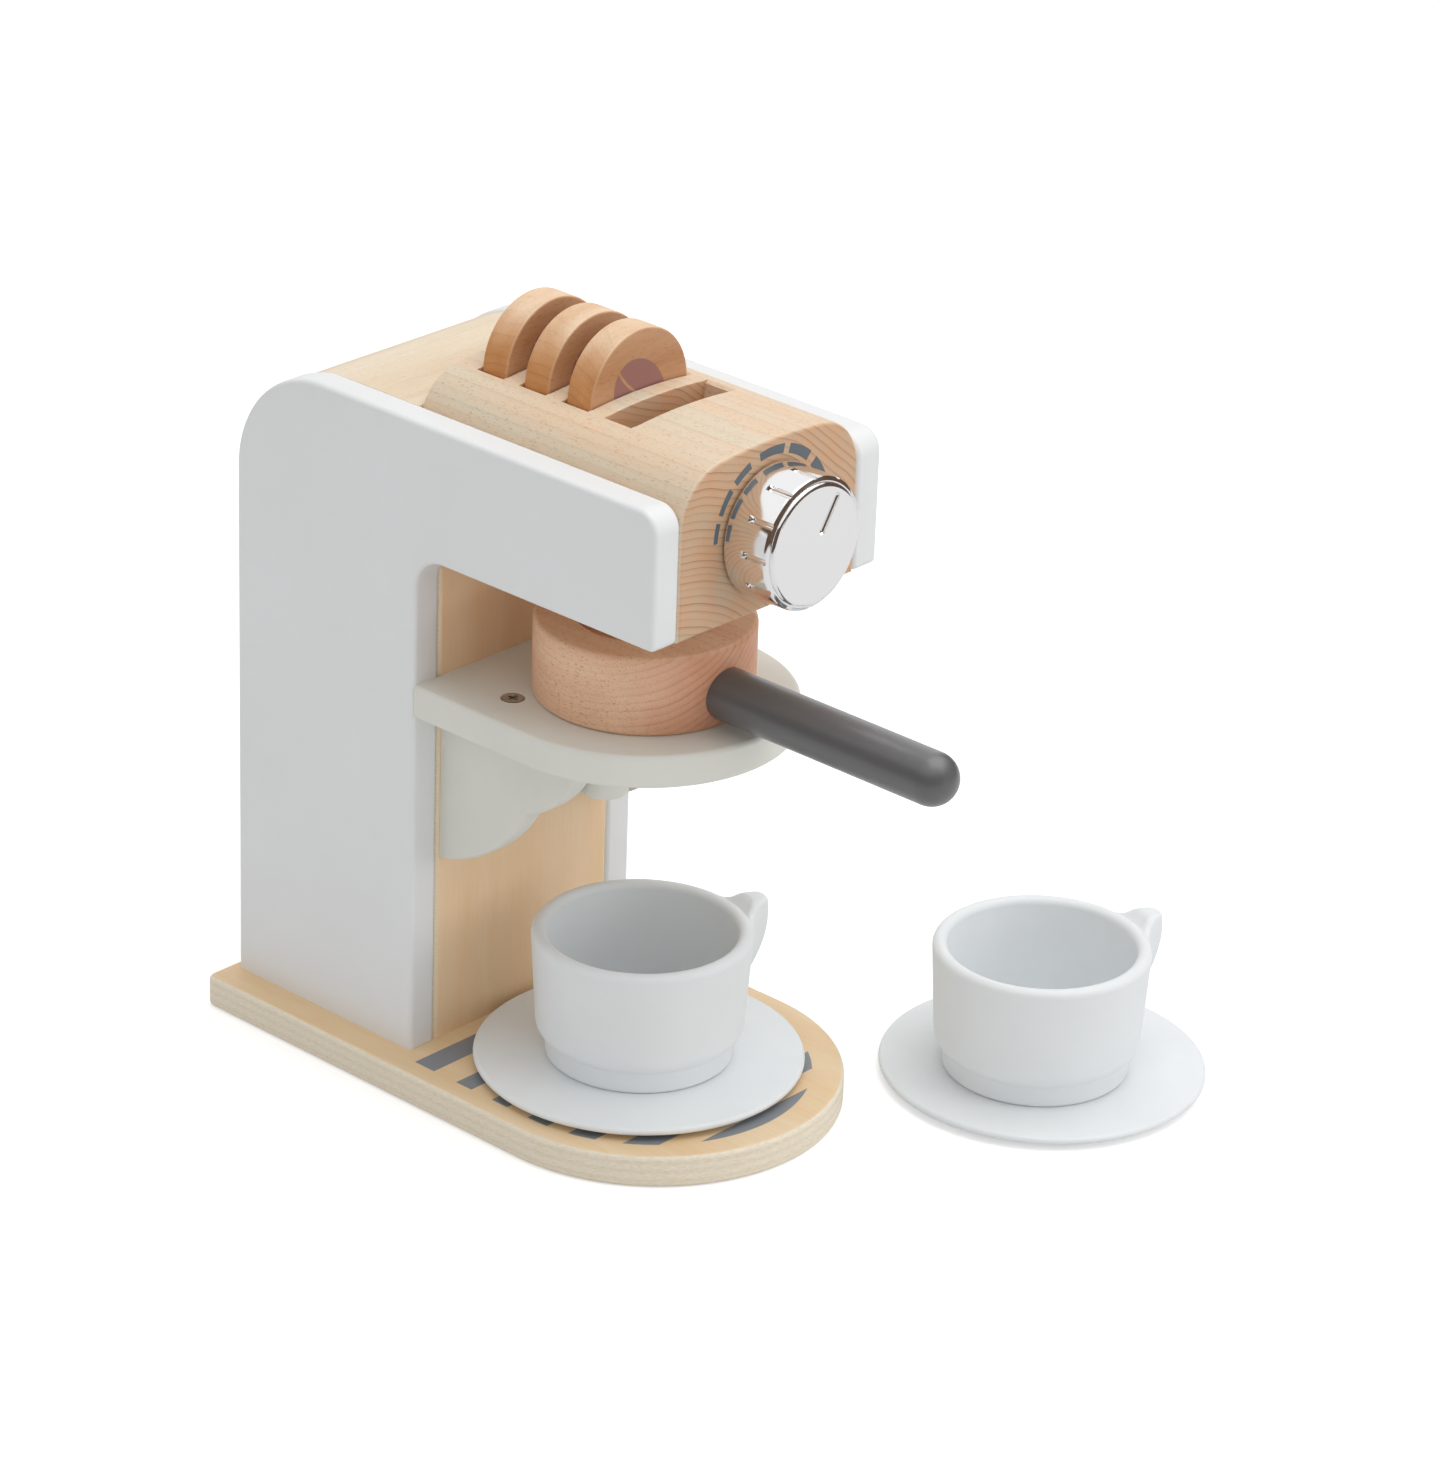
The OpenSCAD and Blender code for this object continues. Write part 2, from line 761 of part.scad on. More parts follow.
// Half of a cup's outside, from its axis out
module cup_outside() {
  step_x = cup_foot_r + foot_step;
  turn_x = belly_r - turn_r;
  turn_z = cup_foot_h + sqrt(pow(turn_r, 2) - pow(step_x - turn_x, 2));
  polygon([
    [0, 0],
    [cup_foot_r - foot_chamfer, 0],
    [cup_foot_r, foot_chamfer],
    [cup_foot_r, cup_foot_h],
    [step_x, cup_foot_h],
    [turn_x, turn_z],
    [belly_r, turn_z],
    [cup_r, cup_rim_z],
    [cup_r - cup_rim_r, cup_rim_z],
    [cup_r - cup_rim_r, cup_h],
    [0, cup_h]
  ]);
  intersection() {
    translate([turn_x, turn_z]) circle(turn_r);
    translate([turn_x, cup_foot_h]) square(turn_r);
  }
  translate([cup_r - cup_rim_r, cup_rim_z]) circle(cup_rim_r);
}

// Half of a cup's hollow, opened past the rim
module cup_hollow() {
  difference() {
    union() {
      polygon([
        [0, cup_floor],
        [hollow_foot_r, cup_floor],
        [hollow_foot_r, cup_floor + hollow_turn_r],
        [hollow_belly_r, cup_floor + hollow_turn_r],
        [cup_r - cup_wall, cup_rim_z],
        [cup_r - cup_rim_r, cup_rim_z],
        [cup_r - cup_rim_r, lug_top_z + cut],
        [0, lug_top_z + cut]
      ]);
      translate([hollow_foot_r, cup_floor + hollow_turn_r]) circle(hollow_turn_r);
    }
    translate([cup_r - cup_rim_r, cup_rim_z]) circle(cup_rim_r);
  }
}

// The lug seen from its side: x is the distance from the cup's axis
module lug_side() {
  difference() {
    intersection() {
      translate([lug_reach - lug_curve_r, lug_curve_z]) circle(lug_curve_r);
      translate([lug_root_x, 0]) square([lug_curve_r, lug_top_z]);
    }
    translate([lug_dip_x, lug_top_z - lug_dip + lug_dip_r]) circle(lug_dip_r);
  }
}

// The lug seen from above, with a flare where it leaves the cup's wall
module lug_plan() {
  difference() {
    polygon([
      [lug_root_x, -flare_root[1]],
      [flare_root[0], -flare_root[1]],
      [flare_x, -lug_w / 2],
      [lug_reach, -lug_w / 2],
      [lug_reach, lug_w / 2],
      [flare_x, lug_w / 2],
      [flare_root[0], flare_root[1]],
      [lug_root_x, flare_root[1]]
    ]);
    for (y = [-flare_y, flare_y]) translate([flare_x, y]) circle(flare_r);
  }
}

module lug() {
  intersection() {
    linear_extrude(lug_top_z) lug_plan();
    translate([0, flare_y, 0]) rotate([90, 0, 0]) linear_extrude(2 * flare_y) lug_side();
  }
}

module cup() {
  difference() {
    union() {
      rotate_extrude() cup_outside();
      rotate([0, 0, lug_angle]) lug();
    }
    rotate_extrude() cup_hollow();
  }
}

module cup_1() {
  color(white_paint) translate([-saucer_1_shift, saucer_1_y, cup_1_z]) cup();
}

module cup_2() {
  color(white_paint) translate([saucer_2_x - cup_2_shift, saucer_2_y, saucer_t]) cup();
}

module saucer() {
  rim_x = saucer_r - saucer_rim_r;
  rotate_extrude() {
    polygon([
      [0, 0],
      [saucer_foot_r, 0],
      [rim_x, saucer_rim_z - saucer_rim_r],
      [rim_x, saucer_t],
      [0, saucer_t]
    ]);
    translate([rim_x, saucer_rim_z]) circle(saucer_rim_r);
  }
}

module saucer_1() {
  color(white_paint) translate([-saucer_1_shift, saucer_1_y, base_t]) saucer();
}

module saucer_2() {
  color(white_paint) translate([saucer_2_x, saucer_2_y, 0]) saucer();
}

base_board();
left_side_panel();
right_side_panel();
head_block();
column_front_board();
rear_cover();
front_batten();
rear_batten();
cover_rail();
panel_dowels();
base_screws();
knob_cap();
knob_hub();
knob_screw();
knob_washer();
shelf();
left_bracket();
right_bracket();
shelf_dowels();
shelf_screws();
bracket_screws();
spouts();
portafilter_bowl();
portafilter_handle();
coffee_pad_1();
coffee_pad_2();
coffee_pad_3();
cup_1();
saucer_1();
cup_2();
saucer_2();
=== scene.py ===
"""Dresses the wooden toy coffee maker: casing, knob, shelf, portafilter, pads, cups and saucers.

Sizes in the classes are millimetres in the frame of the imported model: +Z up, -Y towards the front,
origin under the middle of the base board. Meshes are written in metres.
"""

from __future__ import annotations

import logging
import math
from dataclasses import dataclass, field
from enum import Enum
from functools import partial
from typing import Callable, Sequence

import bmesh
import bpy
from mathutils import Matrix, Vector

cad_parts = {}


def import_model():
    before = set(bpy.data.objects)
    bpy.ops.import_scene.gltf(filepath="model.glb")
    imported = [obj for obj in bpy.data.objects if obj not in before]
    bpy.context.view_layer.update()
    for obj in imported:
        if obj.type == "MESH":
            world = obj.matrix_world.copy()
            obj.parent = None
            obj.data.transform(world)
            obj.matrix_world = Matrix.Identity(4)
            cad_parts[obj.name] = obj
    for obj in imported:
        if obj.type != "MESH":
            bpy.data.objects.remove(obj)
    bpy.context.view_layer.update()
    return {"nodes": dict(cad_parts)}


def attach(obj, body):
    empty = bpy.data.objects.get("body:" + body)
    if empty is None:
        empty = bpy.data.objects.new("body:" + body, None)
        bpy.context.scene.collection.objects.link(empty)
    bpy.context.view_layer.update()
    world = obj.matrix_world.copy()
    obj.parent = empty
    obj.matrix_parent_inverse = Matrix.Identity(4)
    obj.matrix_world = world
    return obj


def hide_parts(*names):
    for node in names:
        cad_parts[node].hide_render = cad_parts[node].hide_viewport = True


MM = 0.001
LOG = logging.getLogger("coffee_maker")

Point2 = tuple[float, float]
Point3 = tuple[float, float, float]
Corners = tuple[Point3, ...]  # both places and the radius of each corner, anticlockwise
Outline = Callable[[float], list[Point2]]
Placer = Callable[[float, float, float], Point3]
Material = bpy.types.Material
Socket = bpy.types.NodeSocket
Adder = Callable[..., Socket]  # adds a node to one tree


class Axis(Enum):
    """A direction along which grain runs or plies lie on each other."""

    X = 0
    Y = 1
    Z = 2

    def scale(self, factor: float) -> Point3:
        """A scale that is the factor along this axis and 1 across it."""
        return tuple(factor if axis is self else 1.0 for axis in Axis)


class Slot(Enum):
    """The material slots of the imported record."""

    BIRCH = "birch_ply"
    BEECH = "beech"
    WHITE = "white_lacquer"
    GREY = "grey_lacquer"
    DARK = "dark_lacquer"
    CUP = "cup_lacquer"
    CHROME = "chrome"
    HUB = "hub_plastic"
    STEEL = "screw_steel"
    FELT = "felt"


# ---------------------------------------------------------------- outlines


def quarter(steps: int) -> list[float]:
    """Angles of a quarter turn in so many steps, both ends included."""
    return [math.radians(90 * k / steps) for k in range(steps + 1)]


def rounding(radius: float, steps: int) -> list[Point2]:
    """Points of a rounded edge: how far along and how far in each one lies.

    Args:
        radius: radius on the edge.
        steps: number of chords.

    Returns:
        steps + 1 points, from the face to the side.
    """
    return [(radius * (1 - math.cos(a)), radius * (1 - math.sin(a))) for a in quarter(steps)]


def arc(centre: Point2, radius: float, start: float, end: float, steps: int) -> list[Point2]:
    """Points on a circular arc.

    Args:
        centre: middle of the circle.
        radius: radius of the circle.
        start: first angle in degrees.
        end: last angle in degrees.
        steps: number of chords.

    Returns:
        steps + 1 points, both ends included.
    """
    angles = (math.radians(start + (end - start) * i / steps) for i in range(steps + 1))
    return [(centre[0] + radius * math.cos(a), centre[1] + radius * math.sin(a)) for a in angles]


def circle(centre: Point2, radius: float, count: int) -> list[Point2]:
    """Points of a full circle, anticlockwise and without a repeated end."""
    return arc(centre, radius, 0, 360, count)[:-1]


def rounded_path(corners: Sequence[Point3], steps: int = 6) -> list[Point2]:
    """An open polyline with its inner corners turned into arcs.

    Args:
        corners: both places and the radius of each corner.
        steps: chords in each arc.

    Returns:
        The points, steps + 1 for every rounded corner and one for each sharp one.
    """
    points: list[Point2] = []
    for i, (x, y, radius) in enumerate(corners):
        if i in (0, len(corners) - 1) or radius <= 0:
            points.append((x, y))
            continue
        here = Vector((x, y))
        before = (Vector(corners[i - 1][:2]) - here).normalized()
        after = (Vector(corners[i + 1][:2]) - here).normalized()
        half = before.angle(after) / 2
        reach = radius / math.tan(half)
        middle = here + (before + after).normalized() * (radius / math.sin(half))
        first = here + before * reach - middle
        turn = first.angle_signed(here + after * reach - middle)
        for k in range(steps + 1):
            spoke = first.copy()
            spoke.rotate(Matrix.Rotation(-turn * k / steps, 2))
            points.append(tuple(middle + spoke))
    return points


def inset_outline(corners: Corners, held: Sequence[int] = ()) -> Outline:
    """A closed outline that can be drawn further in, with the same number of points each time.

    Args:
        corners: the outline's corners.
        held: sides that stay where they are, counted from the one after the first corner.

    Returns:
        A function from the inset in millimetres to the outline's points.
    """
    count = len(corners)
    spots = [Vector(corner[:2]) for corner in corners]
    sides = [(spots[(i + 1) % count] - spots[i]).normalized() for i in range(count)]
    least = 0.05

    def draw(inset: float) -> list[Point2]:
        """The outline at one inset."""
        moved = []
        for i, (spot, out) in enumerate(zip(spots, sides)):
            into = sides[i - 1]
            drawn_in = 0.0 if (i - 1) % count in held else inset
            drawn_out = 0.0 if i in held else inset
            cross = into.cross(out)
            shift = (out * drawn_in - into * drawn_out) / cross
            radius = corners[i][2] - math.copysign(inset, cross)
            moved.append((spot.x + shift.x, spot.y + shift.y, max(radius, least)))
        points: list[Point2] = []
        for i, corner in enumerate(corners):
            around = [moved[i - 1], moved[i], moved[(i + 1) % count]]
            points += rounded_path(around, max(3, round(3 * math.sqrt(corner[2]))))[1:-1]
        return points

    return draw


# ---------------------------------------------------------------- meshes


@dataclass
class Hole:
    """A round hole in a slab's face, with a small chamfer."""

    centre: Point2
    radius: float
    depth: float
    chamfer: float
    at_top: bool = True


class Skin:
    """A mesh that is put together from rings of points in millimetres."""

    def __init__(self) -> None:
        """Starts an empty mesh."""
        self.bm = bmesh.new()

    def ring(self, points: Sequence[Point3]) -> list[bmesh.types.BMVert]:
        """Adds loose points in metres and returns their vertices."""
        return [self.bm.verts.new(Vector(p) * MM) for p in points]

    def chain(self, rings: Sequence[Sequence], closed: bool = True) -> None:
        """Fills the strips between rings of the same length with quads.

        Args:
            rings: the rings in order.
            closed: whether the rings close on themselves.
        """
        for a, b in zip(rings, rings[1:]):
            for i in range(len(a) if closed else len(a) - 1):
                j = (i + 1) % len(a)
                self.bm.faces.new([a[i], a[j], b[j], b[i]])

    def fan(self, ring: Sequence, tip: Point3) -> None:
        """Closes a ring with triangles.

        Args:
            ring: the ring.
            tip: point in which they meet.
        """
        apex = self.ring([tip])[0]
        for i, vert in enumerate(ring):
            self.bm.faces.new([vert, ring[(i + 1) % len(ring)], apex])

    def cap(self, ring: Sequence, holes: Sequence[Sequence] = ()) -> None:
        """Fills a flat ring, leaving flat holes open.

        Args:
            ring: the outer boundary.
            holes: boundaries of the holes inside it.
        """
        if not holes:
            self.bm.faces.new(ring)
            return
        edges = []
        for loop in [ring, *holes]:
            for i, vert in enumerate(loop):
                pair = (vert, loop[(i + 1) % len(loop)])
                edges.append(self.bm.edges.get(pair) or self.bm.edges.new(pair))
        bmesh.ops.triangle_fill(self.bm, use_beauty=True, use_dissolve=False, edges=edges)

    def slab(
        self, outline: Outline, place: Placer, thick: float, edge: float,
        holes: Sequence[Hole] = (), steps: int = 4,
    ) -> None:
        """Adds a board with rounded edges.

        Args:
            outline: the board's outline as a function of the inset.
            place: turns outline x, outline y and height into a point of the frame.
            thick: thickness of the board.
            edge: radius on both edges.
            holes: round holes in its faces.
            steps: chords in each rounded edge.
        """
        levels = rounding(edge, steps) if edge > 0 else [(0.0, 0.0)]
        levels += [(thick - height, inset) for height, inset in reversed(levels)]
        rings = [self.ring([place(x, y, height) for x, y in outline(inset)]) for height, inset in levels]
        self.chain(rings)
        for end, at_top in ((rings[0], False), (rings[-1], True)):
            self.cap(end, [self.bore(hole, place, thick) for hole in holes if hole.at_top is at_top])

    def bore(self, hole: Hole, place: Placer, thick: float) -> list[bmesh.types.BMVert]:
        """Adds the wall and floor of a hole.

        Args:
            hole: the hole.
            place: as in slab.
            thick: thickness of the board.

        Returns:
            The ring at its mouth.
        """
        rings = []
        for grow, depth in ((hole.chamfer, 0.0), (0.0, hole.chamfer), (0.0, hole.depth)):
            height = thick - depth if hole.at_top else depth
            points = circle(hole.centre, hole.radius + grow, 32)
            rings.append(self.ring([place(x, y, height) for x, y in points]))
        self.chain(rings)
        self.cap(rings[-1])
        return rings[0]

    def lathe(self, profile: Sequence[Point2], place: Placer, count: int) -> None:
        """Turns a profile round an axis.

        Args:
            profile: radius and height of each point, from one pole to the other.
            place: turns the two cross directions and the height into a point of the frame.
            count: number of segments round the axis.
        """
        rings = [
            self.ring([place(x, y, height) for x, y in circle((0, 0), radius, count)])
            for radius, height in profile[1:-1]
        ]
        self.chain(rings)
        self.fan(rings[0], place(0, 0, profile[0][1]))
        self.fan(rings[-1], place(0, 0, profile[-1][1]))

    def to_object(self, name: str, material: Material) -> bpy.types.Object:
        """Turns the mesh into an object of the scene.

        Args:
            name: name of the object.
            material: its only material.

        Returns:
            The object.
        """
        mesh = bpy.data.meshes.new(name)
        self.bm.to_mesh(mesh)
        self.bm.free()
        mesh.materials.append(material)
        obj = bpy.data.objects.new(name, mesh)
        bpy.context.scene.collection.objects.link(obj)
        return obj

    def piece(
        self, name: str, body: str, node: str, slot: Slot, material: Material, sharp: float = 40
    ) -> None:
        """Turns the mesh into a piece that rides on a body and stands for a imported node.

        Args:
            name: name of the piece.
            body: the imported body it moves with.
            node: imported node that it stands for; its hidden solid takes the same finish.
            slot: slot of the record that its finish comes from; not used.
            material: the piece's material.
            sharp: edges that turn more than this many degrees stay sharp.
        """
        bmesh.ops.remove_doubles(self.bm, verts=self.bm.verts, dist=1e-7)
        bmesh.ops.recalc_face_normals(self.bm, faces=self.bm.faces)
        obj = self.to_object(name, material)
        obj.data.polygons.foreach_set("use_smooth", [True] * len(obj.data.polygons))
        obj.data.set_sharp_from_angle(angle=math.radians(sharp))
        # Large flat faces keep their flat shading beside the rounded edges
        shading = obj.modifiers.new("flat_faces", "WEIGHTED_NORMAL")
        shading.keep_sharp = True
        shading.weight = 80
        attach(obj, body)
        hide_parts(node)
        paint(bpy.data.objects[node], material)
        LOG.info("%s on %s, %d vertices", name, body, len(obj.data.vertices))


def upright(x0: float = 0.0, y0: float = 0.0, z0: float = 0.0) -> Placer:
    """Places a piece whose height runs along +Z."""
    return lambda x, y, h: (x0 + x, y0 + y, z0 + h)


def to_front(x0: float, y0: float, z0: float) -> Placer:
    """Places a piece whose height runs along -Y, its x to the right and its y up."""
    return lambda x, y, h: (x0 + x, y0 - h, z0 + y)


def to_side(x0: float) -> Placer:
    """Places a piece whose height runs along +X, its x along Y and its y along Z."""
    return lambda y, z, h: (x0 + h, y, z)


# ---------------------------------------------------------------- materials


def linear(colour: str) -> tuple[float, float, float, float]:
    """Turns an sRGB hex colour into linear light.

    Args:
        colour: six hex digits after a hash.

    Returns:
        Red, green, blue and an alpha of 1.
    """
    parts = (int(colour[i : i + 2], 16) / 255 for i in (1, 3, 5))
    red, green, blue = (p / 12.92 if p <= 0.04045 else ((p + 0.055) / 1.055) ** 2.4 for p in parts)
    return (red, green, blue, 1.0)


def feed(node: bpy.types.Node, links: dict | Sequence) -> None:
    """Links sockets or sets values on a node's inputs.

    Args:
        node: the node.
        links: a socket or a value for each input, by name or number or in the inputs' order.
    """
    for key, value in links.items() if isinstance(links, dict) else enumerate(links):
        if isinstance(value, Socket):
            node.id_data.links.new(value, node.inputs[key])
        else:
            node.inputs[key].default_value = value


def add_node(
    tree: bpy.types.NodeTree, kind: str, links: dict | Sequence = (), out: int | str = 0, **settings: str
) -> Socket:
    """Adds a node with its settings and links.

    Args:
        tree: the node tree.
        kind: type of the node, without its ShaderNode prefix.
        links: a socket or a value for each input, by name or number or in the inputs' order.
        out: the output that is wanted.
        **settings: attributes of the node.

    Returns:
        The wanted output.
    """
    node = tree.nodes.new("ShaderNode" + kind)
    for key, value in settings.items():
        setattr(node, key, value)
    feed(node, links)
    return node.outputs[out]


def set_stops(band: Socket, stops: Sequence[tuple[float, str]], mode: str = "LINEAR") -> Socket:
    """Fills a colour ramp.

    Args:
        band: the ramp's output.
        stops: place and hex colour of each stop, in rising order.
        mode: how the colours between the stops are made.

    Returns:
        The same output.
    """
    ramp = band.node.color_ramp
    ramp.interpolation = mode
    ramp.elements.remove(ramp.elements[-1])
    ramp.elements[0].position = stops[0][0]
    ramp.elements[0].color = linear(stops[0][1])
    for place, colour in stops[1:]:
        ramp.elements.new(place).color = linear(colour)
    return band


def new_material(name: str) -> tuple[Material, Adder, bpy.types.Node]:
    """Starts a material.

    Args:
        name: name of the material.

    Returns:
        The material, what adds its nodes, and its shader.
    """
    material = bpy.data.materials.new(name)
    material.use_nodes = True
    return material, partial(add_node, material.node_tree), material.node_tree.nodes["Principled BSDF"]


def paint(obj: bpy.types.Object, material: Material) -> None:
    """Makes a material the object's only one."""
    obj.data.materials.clear()
    obj.data.materials.append(material)


@dataclass(frozen=True)
class Print:
    """A flat print on a piece: ink of one colour where its mask is 1."""

    colour: str
    mask: Callable[[Adder, Socket], Socket]


@dataclass(frozen=True)
class Timber:
    """Solid wood, sawn or turned, sanded and sealed with a thin satin lacquer.

    The growth rings are cylinders round a pith that lies beside the piece, so every face shows the
    figure that its cut gives: stripes along the grain, arcs on the end grain. Short dark dashes are
    the rays and pores.
    """

    name: str
    pale: str  # early wood
    deep: str  # late wood
    tints: tuple[tuple[Axis, str], ...]  # tint of faces that look along an axis: end grain soaks up more; on the pads the tints also paint shade
    late: str  # tint of the late wood's lines
    grain: Axis  # the fibres' run
    pith: Point3  # a point of the pith line
    ring: float = 2.2  # distance between growth rings
    ring_strength: float = 0.5  # how much the late wood shows on end grain, 0 to 1
    side_strength: float = 0.3  # how much it shows on faces along the grain
    fleck: float = 0.5  # how much the rays and pores show
    roughness: float = 0.48
    prints: tuple[Print, ...] = ()

    def make(self) -> Material:
        """Builds the material and returns it."""
        material, add, shader = new_material(self.name)
        coord = add("TexCoord", out="Object")
        fibre = add("VectorMath", [coord, self.grain.scale(0.07)], operation="MULTIPLY")
        streak = add("TexNoise", {"Vector": fibre, "Scale": 1300.0, "Detail": 3.0, "Roughness": 0.6})
        facing = add("SeparateXYZ", [coord.node.outputs["Normal"]]).node.outputs
        square = self._looking(add, facing, self.grain)
        # Tints by facing: the colour of end grain, and on the pads painted shade as well
        layers = [("MULTIPLY", self._looking(add, facing, axis), tint) for axis, tint in self.tints]
        layers.append(("MULTIPLY", self._rings(add, coord, fibre, square), self.late))
        layers.append(("MULTIPLY", self._dashes(add, coord, square), "#a97c58"))
        layers += [("MIX", ink.mask(add, coord), ink.colour) for ink in self.prints]
        colour = self._figure(add, fibre, streak)
        for blend, share, top in layers:
            links = {"Factor": share, 6: colour, 7: linear(top)}
            colour = add("Mix", links, 2, data_type="RGBA", blend_type=blend)
        shine = add("MapRange", [streak, 0.3, 0.7, self.roughness - 0.05, self.roughness + 0.07])
        # Sanded fibres stand up by a few hundredths of a millimetre under the lacquer
        relief = add("Bump", {"Strength": 0.12, "Distance": 0.1 * MM, "Height": streak})
        feed(shader, {"Base Color": colour, "Roughness": shine, "Normal": relief, "IOR": 1.5})
        return material

    @staticmethod
    def _looking(add: Adder, facing: Sequence[Socket], axis: Axis) -> Socket:
        """A mask that is 1 on faces that look along an axis, such as end grain, and 0 on the others."""
        turned = add("Math", [facing[axis.value]], operation="ABSOLUTE")
        return add("MapRange", [turned, 0.5, 0.95, 0.0, 1.0])

    def _figure(self, add: Adder, fibre: Socket, streak: Socket) -> Socket:
        """The wood's colour before rings: soft bands along the grain and fibres about 0.4 mm wide.

        Args:
            add: adds a node.
            fibre: coordinates stretched along the grain.
            streak: the fine fibres.

        Returns:
            The colour.
        """
        broad = add("TexNoise", {"Vector": fibre, "Scale": 95.0, "Detail": 2.0})
        tone = add("Math", [streak, 0.5, broad], operation="MULTIPLY_ADD")
        level = add("MapRange", [tone, 0.5, 1.0, 0.0, 1.0])
        links = {"Factor": level, 6: linear(self.pale), 7: linear(self.deep)}
        return add("Mix", links, 2, data_type="RGBA")

    def _rings(self, add: Adder, coord: Socket, fibre: Socket, square: Socket) -> Socket:
        """Strength of the late wood: a slow rise over each ring, then a quick fall at the next spring.

        Args:
            add: adds a node.
            coord: the piece's coordinates.
            fibre: coordinates stretched along the grain.
            square: mask that tells end grain from faces along the grain.

        Returns:
            The mask.
        """
        pith = [v * MM for v in self.pith]
        centred = add("VectorMath", [coord, pith], operation="SUBTRACT")
        flat = add("VectorMath", [centred, self.grain.scale(0.0)], operation="MULTIPLY")
        radius = add("VectorMath", [flat], "Value", operation="LENGTH")
        # The rings bend by about two millimetres over a few centimetres
        wander = add("TexNoise", {"Vector": fibre, "Scale": 26.0, "Detail": 2.0})
        bent = add("Math", [wander, 7 * MM, radius], operation="MULTIPLY_ADD")
        turns = add("Math", [bent, self.ring * MM], operation="DIVIDE")
        phase = add("Math", [turns], operation="FRACT")
        growth = [(0.0, "#000000"), (0.5, "#3c3c3c"), (0.8, "#a0a0a0"), (0.93, "#ffffff"), (1.0, "#000000")]
        late = set_stops(add("ValToRGB", [phase]), growth)
        # Years differ: some late wood is faint
        years = add("TexNoise", {"W": turns, "Scale": 0.6}, noise_dimensions="1D")
        full = add("MapRange", [square, 0.0, 1.0, self.side_strength, self.ring_strength])
        faint = add("MapRange", [years, 0.35, 0.65, 0.4, 1.0])
        return product(add, late, full, faint)

    def _dashes(self, add: Adder, coord: Socket, square: Socket) -> Socket:
        """Rays and pores: dashes about 0.3 mm wide and 1.5 mm long on faces along the grain.

        Args:
            add: adds a node.
            coord: the piece's coordinates.
            square: mask that tells end grain from faces along the grain.

        Returns:
            The mask.
        """
        dash = add("VectorMath", [coord, self.grain.scale(0.2)], operation="MULTIPLY")
        spots = add("TexNoise", {"Vector": dash, "Scale": 2600.0, "Detail": 1.0, "Roughness": 0.4})
        marks = add("MapRange", [spots, 0.6, 0.75, 0.0, self.fleck])
        side = add("MapRange", [square, 0.0, 1.0, 1.0, 0.25])
        return product(add, marks, side)


@dataclass(frozen=True)
class BirchPly:
    """Birch plywood: pale peeled veneer on the faces, its plies showing on sawn edges.

    Every second ply is cut across its fibres at an edge and looks browner. The sealed edge keeps
    fine saw and glue lines.
    """

    name: str
    veneer: str
    shade: str  # the veneer's darker figure
    edge_pale: str  # plies cut along their fibres
    edge_brown: str  # plies cut across their fibres
    grain: Axis  # run of the face veneer's fibres
    layered: Axis  # axis through the plies
    ply: float  # thickness of one ply
    start: float = 0.0  # place of the lowest face along that axis
    prints: tuple[Print, ...] = ()

    def make(self) -> Material:
        """Builds the material and returns it."""
        material, add, shader = new_material(self.name)
        coord = add("TexCoord", out="Object")
        fibre = add("VectorMath", [coord, self.grain.scale(0.07)], operation="MULTIPLY")
        streak = add("TexNoise", {"Vector": fibre, "Scale": 900.0, "Detail": 3.0, "Roughness": 0.55})
        # Peeled veneer has broad flame figure, centimetres wide
        flame = add("TexNoise", {"Vector": fibre, "Scale": 60.0, "Detail": 3.0, "Distortion": 0.6})
        figure = add("Math", [streak, 0.45, flame], operation="MULTIPLY_ADD")
        level = add("MapRange", [figure, 0.5, 1.0, 0.0, 1.0])
        links = {"Factor": level, 6: linear(self.veneer), 7: linear(self.shade)}
        face = add("Mix", links, 2, data_type="RGBA")
        # Plies on the sawn edge, a pale and a brown one in each pair
        pair = 2 * self.ply
        through = add("SeparateXYZ", [coord], self.layered.value)
        wave = add("TexNoise", {"Vector": coord, "Scale": 45.0, "Detail": 2.0})
        height = add("Math", [wave, 0.5 * MM, through], operation="MULTIPLY_ADD")
        plies = add("Math", [height, 1 / (pair * MM), -self.start / pair - 0.13], operation="MULTIPLY_ADD")
        phase = add("Math", [plies], operation="FRACT")
        pale, brown = self.edge_pale, self.edge_brown
        bands = [(0.0, pale), (0.5, pale), (0.58, brown), (0.9, brown), (1.0, pale)]
        layers = set_stops(add("ValToRGB", [phase]), bands)
        saw = add("VectorMath", [coord, Axis.Z.scale(4.0)], operation="MULTIPLY")
        lines = add("TexNoise", {"Vector": saw, "Scale": 520.0, "Detail": 3.0, "Roughness": 0.65})
        tint = add("MapRange", [lines, 0.35, 0.75, 0.0, 0.45])
        links = {"Factor": tint, 6: layers, 7: linear("#dcc9a6")}
        edge = add("Mix", links, 2, data_type="RGBA", blend_type="MULTIPLY")
        facing = add("SeparateXYZ", [coord.node.outputs["Normal"]], self.layered.value)
        upward = add("Math", [facing], operation="ABSOLUTE")
        on_face = add("MapRange", [upward, 0.78, 0.93, 0.0, 1.0])
        colour = add("Mix", {"Factor": on_face, 6: edge, 7: face}, 2, data_type="RGBA")
        for ink in self.prints:
            links = {"Factor": ink.mask(add, coord), 6: colour, 7: linear(ink.colour)}
            colour = add("Mix", links, 2, data_type="RGBA")
        shine = add("MapRange", [streak, 0.3, 0.7, 0.42, 0.55])
        relief = add("Bump", {"Strength": 0.1, "Distance": 0.1 * MM, "Height": lines})
        feed(shader, {"Base Color": colour, "Roughness": shine, "Normal": relief, "IOR": 1.5})
        return material


